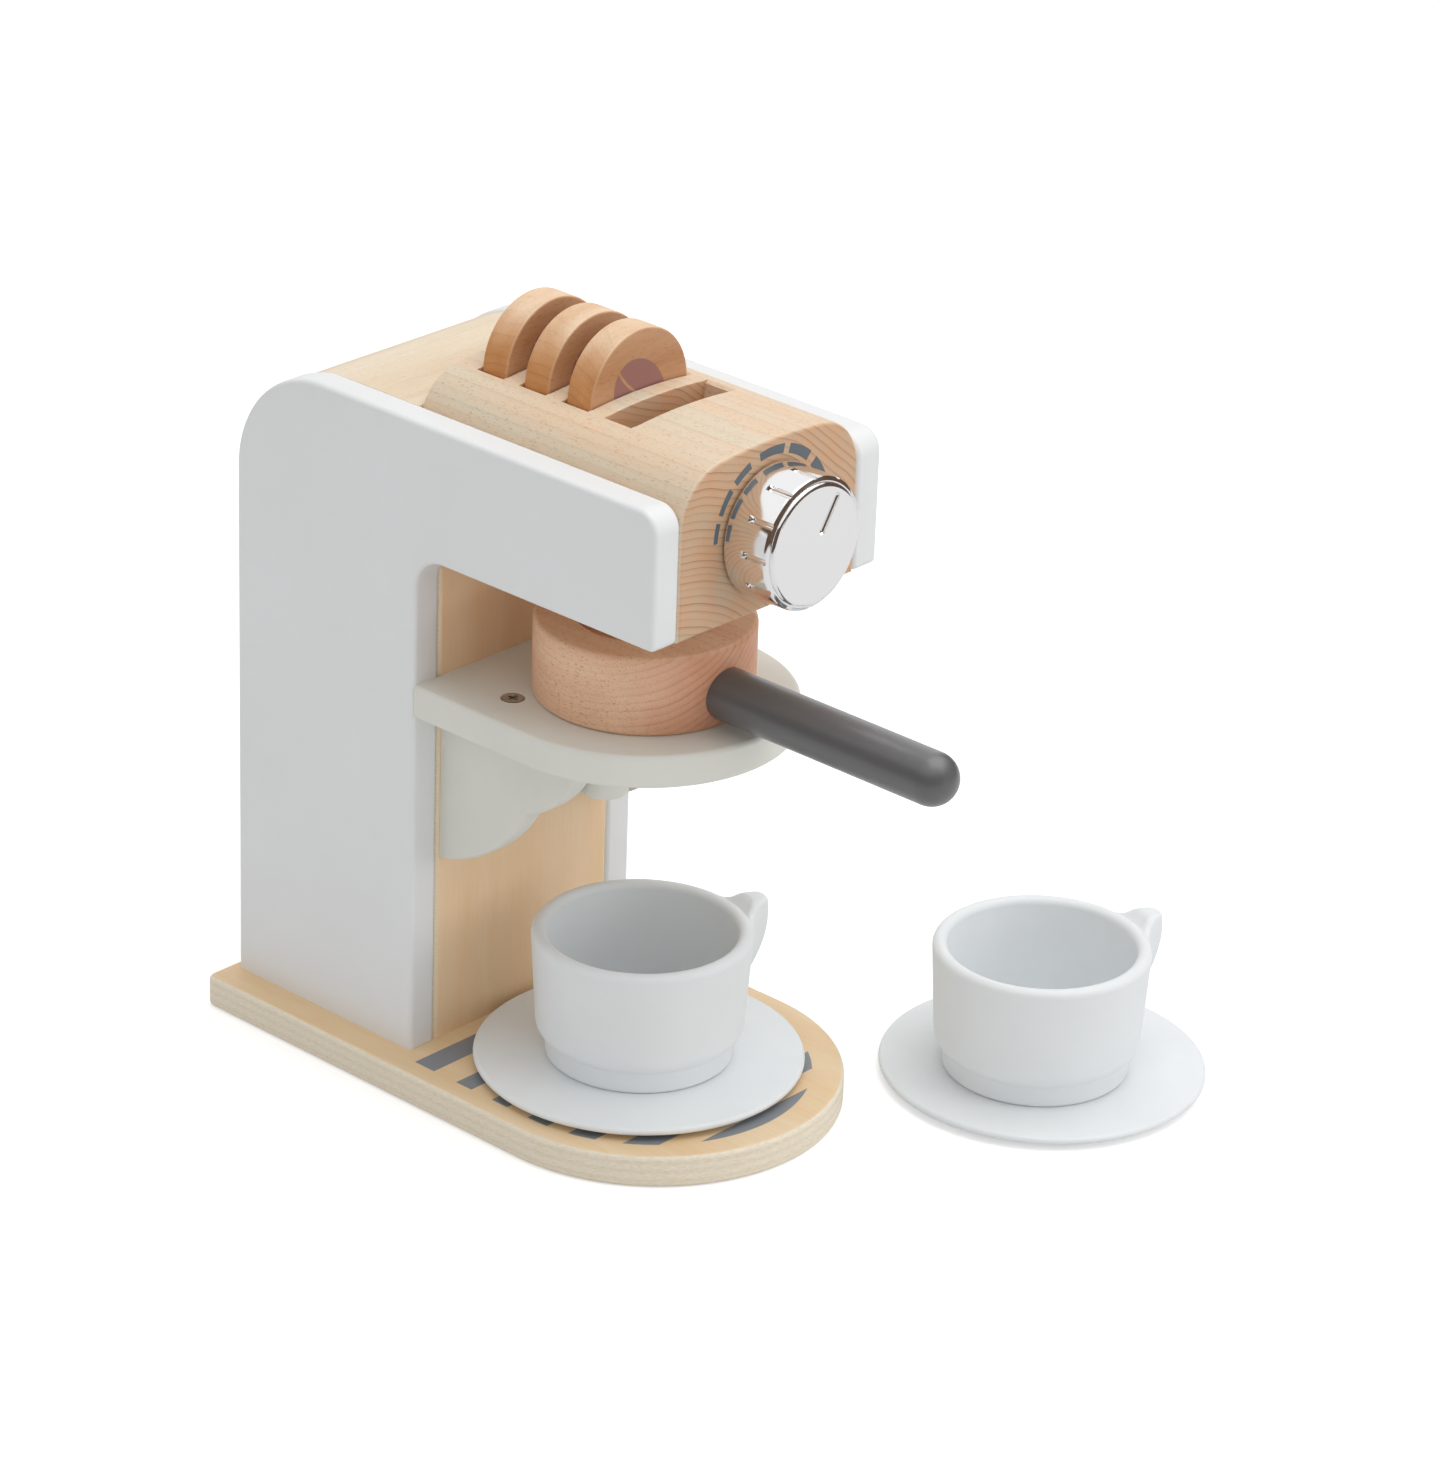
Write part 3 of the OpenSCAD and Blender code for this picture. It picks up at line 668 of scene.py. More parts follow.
@dataclass(frozen=True)
class Lacquer:
    """Water-based lacquer sprayed on sanded wood: an even colour with a faint orange peel."""

    name: str
    colour: str
    dusk: str  # its slightly darker patches
    roughness: float
    wood_grain: float = 0.0  # how much the fibres under the film show through, 0 to 1
    coat: float = 0.0  # weight of a clear satin coat on top, 0 to 1
    peel: float = 0.9  # spacing of the orange peel
    relief: float = 0.08  # strength of the orange peel

    def make(self) -> Material:
        """Builds the material and returns it."""
        material, add, shader = new_material(self.name)
        coord = add("TexCoord", out="Object")
        cloud = add("TexNoise", {"Vector": coord, "Scale": 22.0, "Detail": 4.0, "Roughness": 0.6})
        level = add("MapRange", [cloud, 0.35, 0.7, 0.0, 1.0])
        links = {"Factor": level, 6: linear(self.colour), 7: linear(self.dusk)}
        tone = add("Mix", links, 2, data_type="RGBA")
        fibre = add("VectorMath", [coord, Axis.Y.scale(0.08)], operation="MULTIPLY")
        under = add("TexNoise", {"Vector": fibre, "Scale": 900.0, "Detail": 2.0})
        skin = add("TexNoise", {"Vector": coord, "Scale": 1 / (self.peel * MM), "Detail": 2.0})
        both = add("Mix", {"Factor": self.wood_grain, 2: skin, 3: under}, data_type="FLOAT")
        relief = add("Bump", {"Strength": self.relief, "Distance": 0.2 * MM, "Height": both})
        shine = add("MapRange", [skin, 0.3, 0.7, self.roughness - 0.03, self.roughness + 0.04])
        feed(shader, {"Base Color": tone, "Roughness": shine, "Normal": relief, "IOR": 1.5})
        feed(shader, {"Coat Weight": self.coat, "Coat Roughness": 0.35})
        return material


@dataclass(frozen=True)
class Metal:
    """Bare or plated metal with fine wiping scratches and turning or brushing marks."""

    name: str
    colour: str  # colour of the reflection
    roughness: float
    spread: float  # how far the roughness wanders
    lines: float  # spacing of the marks
    relief: float  # strength of the marks

    def make(self) -> Material:
        """Builds the material and returns it."""
        material, add, shader = new_material(self.name)
        coord = add("TexCoord", out="Object")
        wipe = add("TexNoise", {"Vector": coord, "Scale": 70.0, "Detail": 5.0, "Roughness": 0.7})
        shine = add("MapRange", [wipe, 0.3, 0.7, self.roughness, self.roughness + self.spread])
        drawn = add("VectorMath", [coord, Axis.X.scale(0.05)], operation="MULTIPLY")
        marks = add("TexNoise", {"Vector": drawn, "Scale": 1 / (self.lines * MM), "Detail": 2.0})
        relief = add("Bump", {"Strength": self.relief, "Distance": 0.05 * MM, "Height": marks})
        feed(shader, {"Base Color": linear(self.colour), "Metallic": 1.0})
        feed(shader, {"Roughness": shine, "Normal": relief})
        return material


@dataclass(frozen=True)
class Matter:
    """A plain soft or moulded material with a fine surface, such as felt or ABS."""

    name: str
    colour: str
    fleck: str  # its fine speckle
    grit: float  # size of the speckle
    roughness: float
    relief: float  # strength of the surface's relief

    def make(self) -> Material:
        """Builds the material and returns it."""
        material, add, shader = new_material(self.name)
        coord = add("TexCoord", out="Object")
        speckle = add("TexNoise", {"Vector": coord, "Scale": 1 / (self.grit * MM), "Detail": 3.0})
        links = {"Factor": speckle, 6: linear(self.colour), 7: linear(self.fleck)}
        tone = add("Mix", links, 2, data_type="RGBA")
        relief = add("Bump", {"Strength": self.relief, "Distance": 0.2 * MM, "Height": speckle})
        feed(shader, {"Base Color": tone, "Roughness": self.roughness, "Normal": relief})
        return material


# ---------------------------------------------------------------- prints


def between(add: Adder, value: Socket, low: float, high: float, soft: float) -> Socket:
    """A mask that is 1 where a value lies between two limits.

    Args:
        add: adds a node.
        value: the value.
        low: lower limit.
        high: upper limit.
        soft: half width of the soft edge at each limit.

    Returns:
        The mask.
    """
    rise = add("MapRange", [value, low - soft, low + soft, 0.0, 1.0])
    fall = add("MapRange", [value, high - soft, high + soft, 1.0, 0.0])
    return product(add, rise, fall)


def product(add: Adder, *masks: Socket) -> Socket:
    """Multiplies masks.

    Args:
        add: adds a node.
        *masks: the masks.

    Returns:
        Their product.
    """
    total = masks[0]
    for other in masks[1:]:
        total = add("Math", [total, other], operation="MULTIPLY")
    return total


def steps_mask(add: Adder, value: Socket, spans: Sequence[Point2], low: float, high: float) -> Socket:
    """A mask that is 1 inside each of several spans of one value.

    Args:
        add: adds a node.
        value: the value.
        spans: start and end of each span, in rising order.
        low: value at the start of the ramp.
        high: value at its end.

    Returns:
        The mask.
    """
    stops = [(0.0, "#000000")]
    for start, end in spans:
        stops += [((start - low) / (high - low), "#ffffff"), ((end - low) / (high - low), "#000000")]
    share = add("MapRange", [value, low, high, 0.0, 1.0])
    return set_stops(add("ValToRGB", [share]), stops, "CONSTANT")


@dataclass(frozen=True)
class DripStripes:
    """Grey stripes across the top of the base board, where a machine would have its drip grid."""

    bands: tuple[Point2, ...] = (
        (-103.5, -94.9), (-86.5, -77.1), (-68.8, -59.3), (-50.9, -42.0), (-32.3, -24.5),
        (-14.7, -7.4), (3.5, 13.0),
    )  # start and end of each stripe along Y
    half_width: float = 60.0  # reach of the stripes to either side
    arc_at: Point2 = (-2.0, -44.0)  # middle of the circle that ends them at the front
    arc_r: float = 57.5
    face_z: float = 12.0  # height of the printed face

    def mask(self, add: Adder, coord: Socket) -> Socket:
        """Builds the mask of the stripes.

        Args:
            add: adds a node.
            coord: the piece's coordinates.

        Returns:
            The mask.
        """
        x, y, z = add("SeparateXYZ", [coord]).node.outputs
        margin, soft = 5, 0.1 * MM
        low, high = self.bands[0][0] - margin, self.bands[-1][1] + margin
        bands = steps_mask(add, y, [(a * MM, b * MM) for a, b in self.bands], low * MM, high * MM)
        wide = between(add, x, -self.half_width * MM, self.half_width * MM, soft)
        top = between(add, z, (self.face_z - 0.1) * MM, (self.face_z + 1) * MM, soft / 2)
        # In front of the arc's middle the stripes end on a circle: behind it, Y counts as zero
        sideways, ahead = (
            add("Math", [socket, start * MM], operation="SUBTRACT")
            for socket, start in zip((x, y), self.arc_at)
        )
        forward = add("Math", [ahead, 0.0], operation="MINIMUM")
        flat = add("CombineXYZ", [sideways, forward])
        reach = add("VectorMath", [flat], "Value", operation="LENGTH")
        inside = between(add, reach, -1.0, self.arc_r * MM, soft)
        return product(add, bands, wide, top, inside)


@dataclass(frozen=True)
class DialMarks:
    """Bars printed round the knob, wider on the right, like a strength scale."""

    spans: tuple[Point2, ...] = (
        (-88, -73), (-66.5, -47.5), (-41, -22.5), (-13, 12.5), (18, 41.5), (48.5, 72), (78.5, 103),
    )  # start and end of each bar in degrees clockwise from the top
    centre: Point2 = (-0.3, 229.3)  # x and z of the bars' middle
    face_y: float = -89.3  # place of the printed face
    inner_r: float = 25.2
    outer_start: float = 27.1  # outer radius at the first bar's start
    outer_growth: float = 0.0145  # how much the outer radius grows for each degree

    def mask(self, add: Adder, coord: Socket) -> Socket:
        """Builds the mask of the bars.

        Args:
            add: adds a node.
            coord: the piece's coordinates.

        Returns:
            The mask.
        """
        x, y, z = add("SeparateXYZ", [coord]).node.outputs
        right, up = (
            add("Math", [socket, start * MM], operation="SUBTRACT")
            for socket, start in zip((x, z), self.centre)
        )
        angle = add("Math", [right, up], operation="ARCTAN2")
        turned = add("Math", [angle], operation="DEGREES")
        bars = steps_mask(add, turned, self.spans, -180, 180)
        flat = add("CombineXYZ", [right, up])
        radius = add("VectorMath", [flat], "Value", operation="LENGTH")
        top_r = self.outer_start - self.spans[0][0] * self.outer_growth
        growth = add("Math", [turned, self.outer_growth * MM, top_r * MM], operation="MULTIPLY_ADD")
        spare = add("Math", [growth, radius], operation="SUBTRACT")
        soft = 0.06 * MM
        outer = between(add, spare, 0.0, 1.0, soft)
        inner = between(add, radius, self.inner_r * MM, 1.0, soft)
        front = between(add, y, -1.0, (self.face_y + 0.3) * MM, 0.05 * MM)
        return product(add, bars, outer, inner, front)


@dataclass(frozen=True)
class BeanPrint:
    """A coffee bean printed on the front face of each pad: an ellipse split by a light wavy line."""

    centre_z: float = 258.2  # height of the pads' middle
    long_r: float = 14.4
    short_r: float = 11.2
    tilt: float = 52.0  # turn of the bean, clockwise from lying flat, in degrees
    gap: float = 0.5  # half width of the light line
    sway: float = 2.0  # how far the line bends to either side
    bends: float = 2.1  # how much of a wave the line has, in radians to either side

    def mask(self, add: Adder, coord: Socket) -> Socket:
        """Builds the mask of the bean.

        Args:
            add: adds a node.
            coord: the piece's coordinates.

        Returns:
            The mask.
        """
        moved = add("VectorMath", [coord, (0.0, 0.0, self.centre_z * MM)], operation="SUBTRACT")
        links = {"Vector": moved, "Axis": (0.0, 1.0, 0.0), "Angle": -math.radians(self.tilt)}
        turned = add("VectorRotate", links, rotation_type="AXIS_ANGLE")
        x, _, z = add("SeparateXYZ", [turned]).node.outputs
        along = add("Math", [x, self.long_r * MM], operation="DIVIDE")
        across = add("Math", [z, self.short_r * MM], operation="DIVIDE")
        flat = add("CombineXYZ", [along, across])
        reach = add("VectorMath", [flat], "Value", operation="LENGTH")
        oval = between(add, reach, -1.0, 1.0, 0.01)
        bend = add("Math", [along, self.bends], operation="MULTIPLY")
        wave = add("Math", [bend], operation="SINE")
        line = add("Math", [wave, -self.sway * MM, z], operation="MULTIPLY_ADD")
        off_line = add("Math", [line], operation="ABSOLUTE")
        halves = between(add, off_line, self.gap * MM, 1.0, 0.1 * MM)
        facing = add("SeparateXYZ", [coord.node.outputs["Normal"]], "Y")
        front = between(add, facing, -2.0, -0.95, 0.02)
        return product(add, oval, halves, front)


# ---------------------------------------------------------------- finishes


def made(finish: Timber | BirchPly | Lacquer | Metal | Matter) -> Material:
    """A field of the palette that is filled with a finish's material."""
    return field(default_factory=finish.make)


@dataclass
class Palette:
    """Every finish of the toy, made once and shared by its pieces."""

    # Birch plywood, sawn and sealed: a pale flamed top and calm plies on the edge
    base_ply: Material = made(BirchPly(
        "birch_ply_base", veneer="#f1d8b4", shade="#e9c798", edge_pale="#f8efdc", edge_brown="#f4e9d4",
        grain=Axis.Y, layered=Axis.Z, ply=1.7, prints=(Print("#878c92", DripStripes().mask),),
    ))
    # Birch plywood, sawn and sealed: a warm face with browner plies at its sides
    front_ply: Material = made(BirchPly(
        "birch_ply_front", veneer="#f9dcb9", shade="#f3cfa2", edge_pale="#f4e9d2", edge_brown="#ddc6a8",
        grain=Axis.Z, layered=Axis.Y, ply=1.5, start=20.3,
    ))
    # Thin birch sheet, bent and sealed: even and pale, with faint wide bands
    cover_ply: Material = made(Timber(
        "birch_ply_cover", pale="#f0e0c8", deep="#e4cdac", tints=((Axis.X, "#f4ece0"),), late="#e6d2b8",
        grain=Axis.X, pith=(0, -40, -300), ring=9.0, ring_strength=0.3, side_strength=0.3, fleck=0.2,
    ))
    # Beech, planed and sealed: year lines on its front, fine flecks on the crown
    block_beech: Material = made(Timber(
        "beech_block", pale="#e0d7c1", deep="#ebcaa8", tints=((Axis.Y, "#eed8c8"),), late="#a9714f",
        grain=Axis.Y, pith=(-50, 0, 150), ring=2.6, ring_strength=0.62, side_strength=0.16, fleck=0.4,
        prints=(Print("#626c73", DialMarks().mask),),
    ))
    # Beech, turned and sealed: a warm wall with arcs of year lines
    bowl_beech: Material = made(Timber(
        "beech_bowl", pale="#f5ceae", deep="#eabb98", tints=((Axis.Y, "#ead2c8"),), late="#a9714f",
        grain=Axis.Y, pith=(-60, 0, 260), ring=2.6, ring_strength=0.5, side_strength=0.2, fleck=0.6,
    ))
    # Beech, turned and sealed: pale wood, the rim's sides browned like end grain and by painted shade, the
    # round faces darkened by painted shade
    pad_beech: Material = made(Timber(
        "beech_pads", pale="#f2d4b4", deep="#e2b88e", late="#b98a60",
        # Painted shade: the X tint browns the rim's sides, partly end grain and partly painted shade and warm
        # reflection; the Y tint darkens the round faces
        tints=((Axis.X, "#e4bb8a"), (Axis.Y, "#dac2af")),
        grain=Axis.X, pith=(10, 0, 190), ring=3.0, ring_strength=0.3, side_strength=0.1, fleck=0.3,
        prints=(Print("#a0726b", BeanPrint().mask),),
    ))
    # Beech, sawn and left plain: duller and browner
    inner_beech: Material = made(Timber(
        "beech_inside", pale="#e6c59b", deep="#cfa172", tints=((Axis.X, "#e6cdbb"),), late="#b98a60",
        grain=Axis.X, pith=(0, 90, -20), ring=2.4, roughness=0.62,
    ))
    # Water lacquer, sprayed: an even cool white with a satin sheen
    white: Material = made(Lacquer("white_lacquer", "#eeeff0", dusk="#ebecec", roughness=0.42))
    # Water lacquer, sprayed thinly: a warm light grey with the fibres just showing
    grey: Material = made(Lacquer("grey_lacquer", "#e7e7df", dusk="#e2e1d9", roughness=0.5, wood_grain=0.5))
    # Dark lacquer under a satin clear coat: a soft highlight along the handle
    dark: Material = made(Lacquer(
        "dark_lacquer", "#5d5d5f", dusk="#58585a", roughness=0.42, wood_grain=0.4, coat=1.0
    ))
    # Water lacquer, sprayed on turned wood: an even cool white
    cup: Material = made(Lacquer("cup_lacquer", "#edf0f1", dusk="#e9ecee", roughness=0.5))
    # Chrome plate, polished: a bright mirror with a faint haze
    chrome: Material = made(Metal("chrome_plate", "#f0f0f0", 0.08, spread=0.05, lines=0.2, relief=0.03))
    # Zinc-plated steel, turned: grey with a broad shine
    steel: Material = made(Metal("zinc_steel", "#c2c4c6", 0.28, spread=0.15, lines=0.15, relief=0.25))
    # ABS, moulded: nearly black with a fine grain
    plastic: Material = made(Matter(
        "abs_hub", "#3a3a3c", fleck="#444447", grit=0.4, roughness=0.5, relief=0.15
    ))
    # Wool felt, pressed: grey, matt and fuzzy
    felt: Material = made(Matter(
        "wool_felt", "#5f5f5c", fleck="#86867f", grit=0.25, roughness=0.95, relief=0.8
    ))


# ---------------------------------------------------------------- pieces


@dataclass
class SidePanels:
    """The two white panels: a column whose head reaches forward over the cups."""

    inner_x: float = 43.0  # distance of the panels' inner faces from the middle plane
    thick: float = 12.0
    edge: float = 2.0
    corners: Corners = (
        (20.3, 12.0, 0.2), (107.97, 12.0, 0.2), (107.97, 248.67, 42.0),
        (-89.27, 248.67, 8.0), (-89.27, 200.03, 2.3), (20.3, 200.03, 12.0),
    )  # in y and z

    def build(self, palette: Palette) -> None:
        """Builds both panels.

        Args:
            palette: the finishes.
        """
        for side, x0 in (("left", -self.inner_x - self.thick), ("right", self.inner_x)):
            skin = Skin()
            skin.slab(inset_outline(self.corners, held=(0,)), to_side(x0), self.thick, self.edge)
            skin.piece(f"{side}_panel", "casing", f"{side}_side_panel", Slot.WHITE, palette.white)


@dataclass
class HeadBlock:
    """The beech block between the panels' heads, with four pad slots across its crown."""

    half_width: float = 43.0
    front_y: float = -89.3
    rear_y: float = 31.2
    bottom_z: float = 200.0
    crown_r: float = 221.0
    crown_z: float = 39.5  # height of the crown circle's middle
    shoulder_r: float = 20.0
    shoulder_at: Point2 = (23.0, 239.17)  # x and z of the right shoulder circle's middle
    slots: tuple[float, ...] = (-43.3, -23.7, -4.1, 15.5)  # each slot's middle along Y
    slot_w: float = 12.4
    slot_r: float = 23.7  # radius of a slot's floor
    slot_z: float = 258.2  # height of the slot circles' middle
    lip: float = 0.5  # radius on the slots' edges
    edge: float = 1.5  # radius on the front face's edges
    rear_edge: float = 0.3
    across: int = 36  # chords across each slot

    def ring(self, y: float, inset: float = 0.0, sink: float = 0.0, slot: bool = False) -> list[Point3]:
        """The block's outline at one place along Y.

        Args:
            y: place along Y.
            inset: how far the outline is drawn in.
            sink: how far the crown is lowered over the slots.
            slot: whether the outline dips to the slots' floor.

        Returns:
            Points in the frame, the same number for every ring.
        """
        tilt = math.degrees(math.atan2(self.shoulder_at[1] - self.crown_z, self.shoulder_at[0]))
        shoulder = arc(self.shoulder_at, self.shoulder_r - inset, 0, tilt, 10)
        side = [(self.half_width - inset, self.bottom_z + inset), *shoulder]
        points = list(side)
        for i in range(self.across + 1):
            x = self.slot_r * math.cos(math.pi * i / self.across)
            if slot:
                points.append((x, self.slot_z - math.sqrt(max(self.slot_r**2 - x**2, 0))))
            else:
                top = self.crown_z + math.sqrt((self.crown_r - inset) ** 2 - x**2)
                # The sinking fades out at both ends of the slot
                points.append((x, top - sink * min(1.0, 6 * math.sin(math.pi * i / self.across))))
        points += [(-x, z) for x, z in reversed(side)]
        return [(x, y, z) for x, z in points]

    def build(self, palette: Palette) -> None:
        """Builds the block.

        Args:
            palette: the finishes.
        """
        rings = [self.ring(self.front_y + back, inset) for back, inset in rounding(self.edge, 4)]
        lips = rounding(self.lip, 3)
        for middle in self.slots:
            start, end = middle - self.slot_w / 2, middle + self.slot_w / 2
            rings += [self.ring(start - away, sink=sink) for sink, away in lips]
            rings += [self.ring(start, slot=True), self.ring(end, slot=True)]
            rings += [self.ring(end + away, sink=sink) for sink, away in reversed(lips)]
        rear = reversed(rounding(self.rear_edge, 2))
        rings += [self.ring(self.rear_y - back, inset) for back, inset in rear]
        skin = Skin()
        placed = [skin.ring(points) for points in rings]
        skin.chain(placed)
        skin.cap(placed[0])
        skin.cap(placed[-1])
        skin.piece("head_block_body", "casing", "head_block", Slot.BEECH, palette.block_beech, sharp=35)


@dataclass
class Column:
    """The boards between the panels: the front board under the head and the bent rear cover."""

    front_edges: Corners = (
        (-43.0, 20.33, 1.9), (43.0, 20.33, 1.9), (43.0, 29.3, 0.2), (-43.0, 29.3, 0.2),
    )  # in x and y
    cover_corners: Corners = (
        (107.27, 12.0, 0.1), (107.27, 247.97, 41.3), (31.3, 247.97, 0.1),
        (31.3, 244.0, 0.1), (103.3, 244.0, 37.3), (103.3, 12.0, 0.1),
    )  # in y and z
    half_width: float = 43.0
    bottom_z: float = 12.0
    top_z: float = 200.0

    def build(self, palette: Palette) -> None:
        """Builds the front board and the rear cover.

        Args:
            palette: the finishes.
        """
        board = Skin()
        height = self.top_z - self.bottom_z
        board.slab(inset_outline(self.front_edges), upright(z0=self.bottom_z), height, 0)
        board.piece("front_board", "casing", "column_front_board", Slot.BIRCH, palette.front_ply)
        cover = Skin()
        cover.slab(inset_outline(self.cover_corners), to_side(-self.half_width), 2 * self.half_width, 0)
        cover.piece("rear_cover_sheet", "casing", "rear_cover", Slot.BIRCH, palette.cover_ply)


@dataclass
class BaseBoard:
    """The plywood base with its round front and printed drip stripes."""

    corners: Corners = (
        (-67.47, -111.47, 67.47), (67.47, -111.47, 67.47), (67.47, 111.47, 3.0), (-67.47, 111.47, 3.0),
    )  # in x and y
    thick: float = 12.0
    edge: float = 1.8
    screws: tuple[Point2, ...] = ((-20, 39.3), (20, 39.3), (-20, 93.3), (20, 93.3))
    sink: Point3 = (4.1, 2.2, 0.25)  # radius, depth and chamfer of the screws' holes in the underside

    def build(self, palette: Palette) -> None:
        """Builds the board.

        Args:
            palette: the finishes.
        """
        skin = Skin()
        holes = [Hole(spot, *self.sink, at_top=False) for spot in self.screws]
        skin.slab(inset_outline(self.corners), upright(), self.thick, self.edge, holes, steps=6)
        skin.piece("base_board_body", "casing", "base_board", Slot.BIRCH, palette.base_ply)


@dataclass
class Shelf:
    """The grey shelf with its two brackets and the two spouts under it."""

    corners: Corners = (
        (-54.97, -88.07, 54.97), (54.97, -88.07, 54.97), (54.97, 20.3, 0.3), (-54.97, 20.3, 0.3),
    )  # in x and y
    bottom_z: float = 140.2
    thick: float = 12.0
    edge: float = 1.8
    screws: tuple[Point2, ...] = ((-37, -9.2), (37, -9.2))
    sink: Point3 = (4.0, 2.0, 0.35)  # radius, depth and chamfer of the screws' holes in the upper face
    column_y: float = 20.3  # place of the column's front
    bracket_x: float = 32.5  # inner face of the right bracket
    bracket_t: float = 9.0
    bracket_edge: float = 1.4
    lower: Point3 = (32.1, 140.7, 59.6)  # y, z and radius of the brackets' lower curve
    upper: Point3 = (-3.9, 154.4, 44.6)  # y, z and radius of their upper curve
    spout_at: Point2 = (18.0, -35.1)  # x and y of the right spout
    spout_r: float = 8.3
    spout_edge: float = 0.9
    spout_z: float = 120.2  # height of the spouts' mouths
    spout_len: float = 21.0

    def bracket_outline(self, inset: float) -> list[Point2]:
        """The bracket's outline in Y and Z, against the column and the shelf.

        Args:
            inset: how far its two curves are drawn in.

        Returns:
            The outline's points.
        """
        low, high = Vector(self.lower[:2]), Vector(self.upper[:2])
        low_r, high_r = self.lower[2] - inset, self.upper[2] - inset
        # The two curves meet where their circles cross, at the lower of the two crossings
        gap = high - low
        along = (low_r**2 - high_r**2 + gap.length_squared) / (2 * gap.length)
        off = math.sqrt(low_r**2 - along**2)
        side = Vector((gap.y, -gap.x)).normalized()
        crossings = (low + gap.normalized() * along + side * off * sign for sign in (1, -1))
        meet = min(crossings, key=lambda p: p.y)
        to_column = self.column_y - low.x
        foot = math.degrees(math.atan2(-math.sqrt(low_r**2 - to_column**2), to_column))
        turn = math.degrees(math.atan2(meet.y - low.y, meet.x - low.x))
        knee = math.degrees(math.atan2(meet.y - high.y, meet.x - high.x))
        top = -180 + math.degrees(math.asin((high.y - self.bottom_z) / high_r))
        upper = arc(high, high_r, top, knee, 14)
        return [*upper[:-1], *arc(low, low_r, turn, foot, 20), (self.column_y, self.bottom_z)]

    def build(self, palette: Palette) -> None:
        """Builds the shelf, the brackets and the spouts.

        Args:
            palette: the finishes.
        """
        board = Skin()
        holes = [Hole(spot, *self.sink) for spot in self.screws]
        outline = inset_outline(self.corners, held=(2,))
        board.slab(outline, upright(z0=self.bottom_z), self.thick, self.edge, holes, steps=6)
        board.piece("shelf_board", "casing", "shelf", Slot.GREY, palette.grey)
        for side, x0 in (("left", -self.bracket_x - self.bracket_t), ("right", self.bracket_x)):
            bracket = Skin()
            bracket.slab(self.bracket_outline, to_side(x0), self.bracket_t, self.bracket_edge)
            bracket.piece(f"{side}_bracket_body", "casing", f"{side}_bracket", Slot.GREY, palette.grey)
        tube = [(self.spout_r, 0, self.spout_edge), (self.spout_r, self.spout_len, 0)]
        profile = rounded_path([(0, 0, 0), *tube, (0, self.spout_len, 0)], 4)
        spouts = Skin()
        for x in (-self.spout_at[0], self.spout_at[0]):
            spouts.lathe(profile, upright(x, self.spout_at[1], self.spout_z), 48)
        spouts.piece("spout_pair", "casing", "spouts", Slot.GREY, palette.grey)


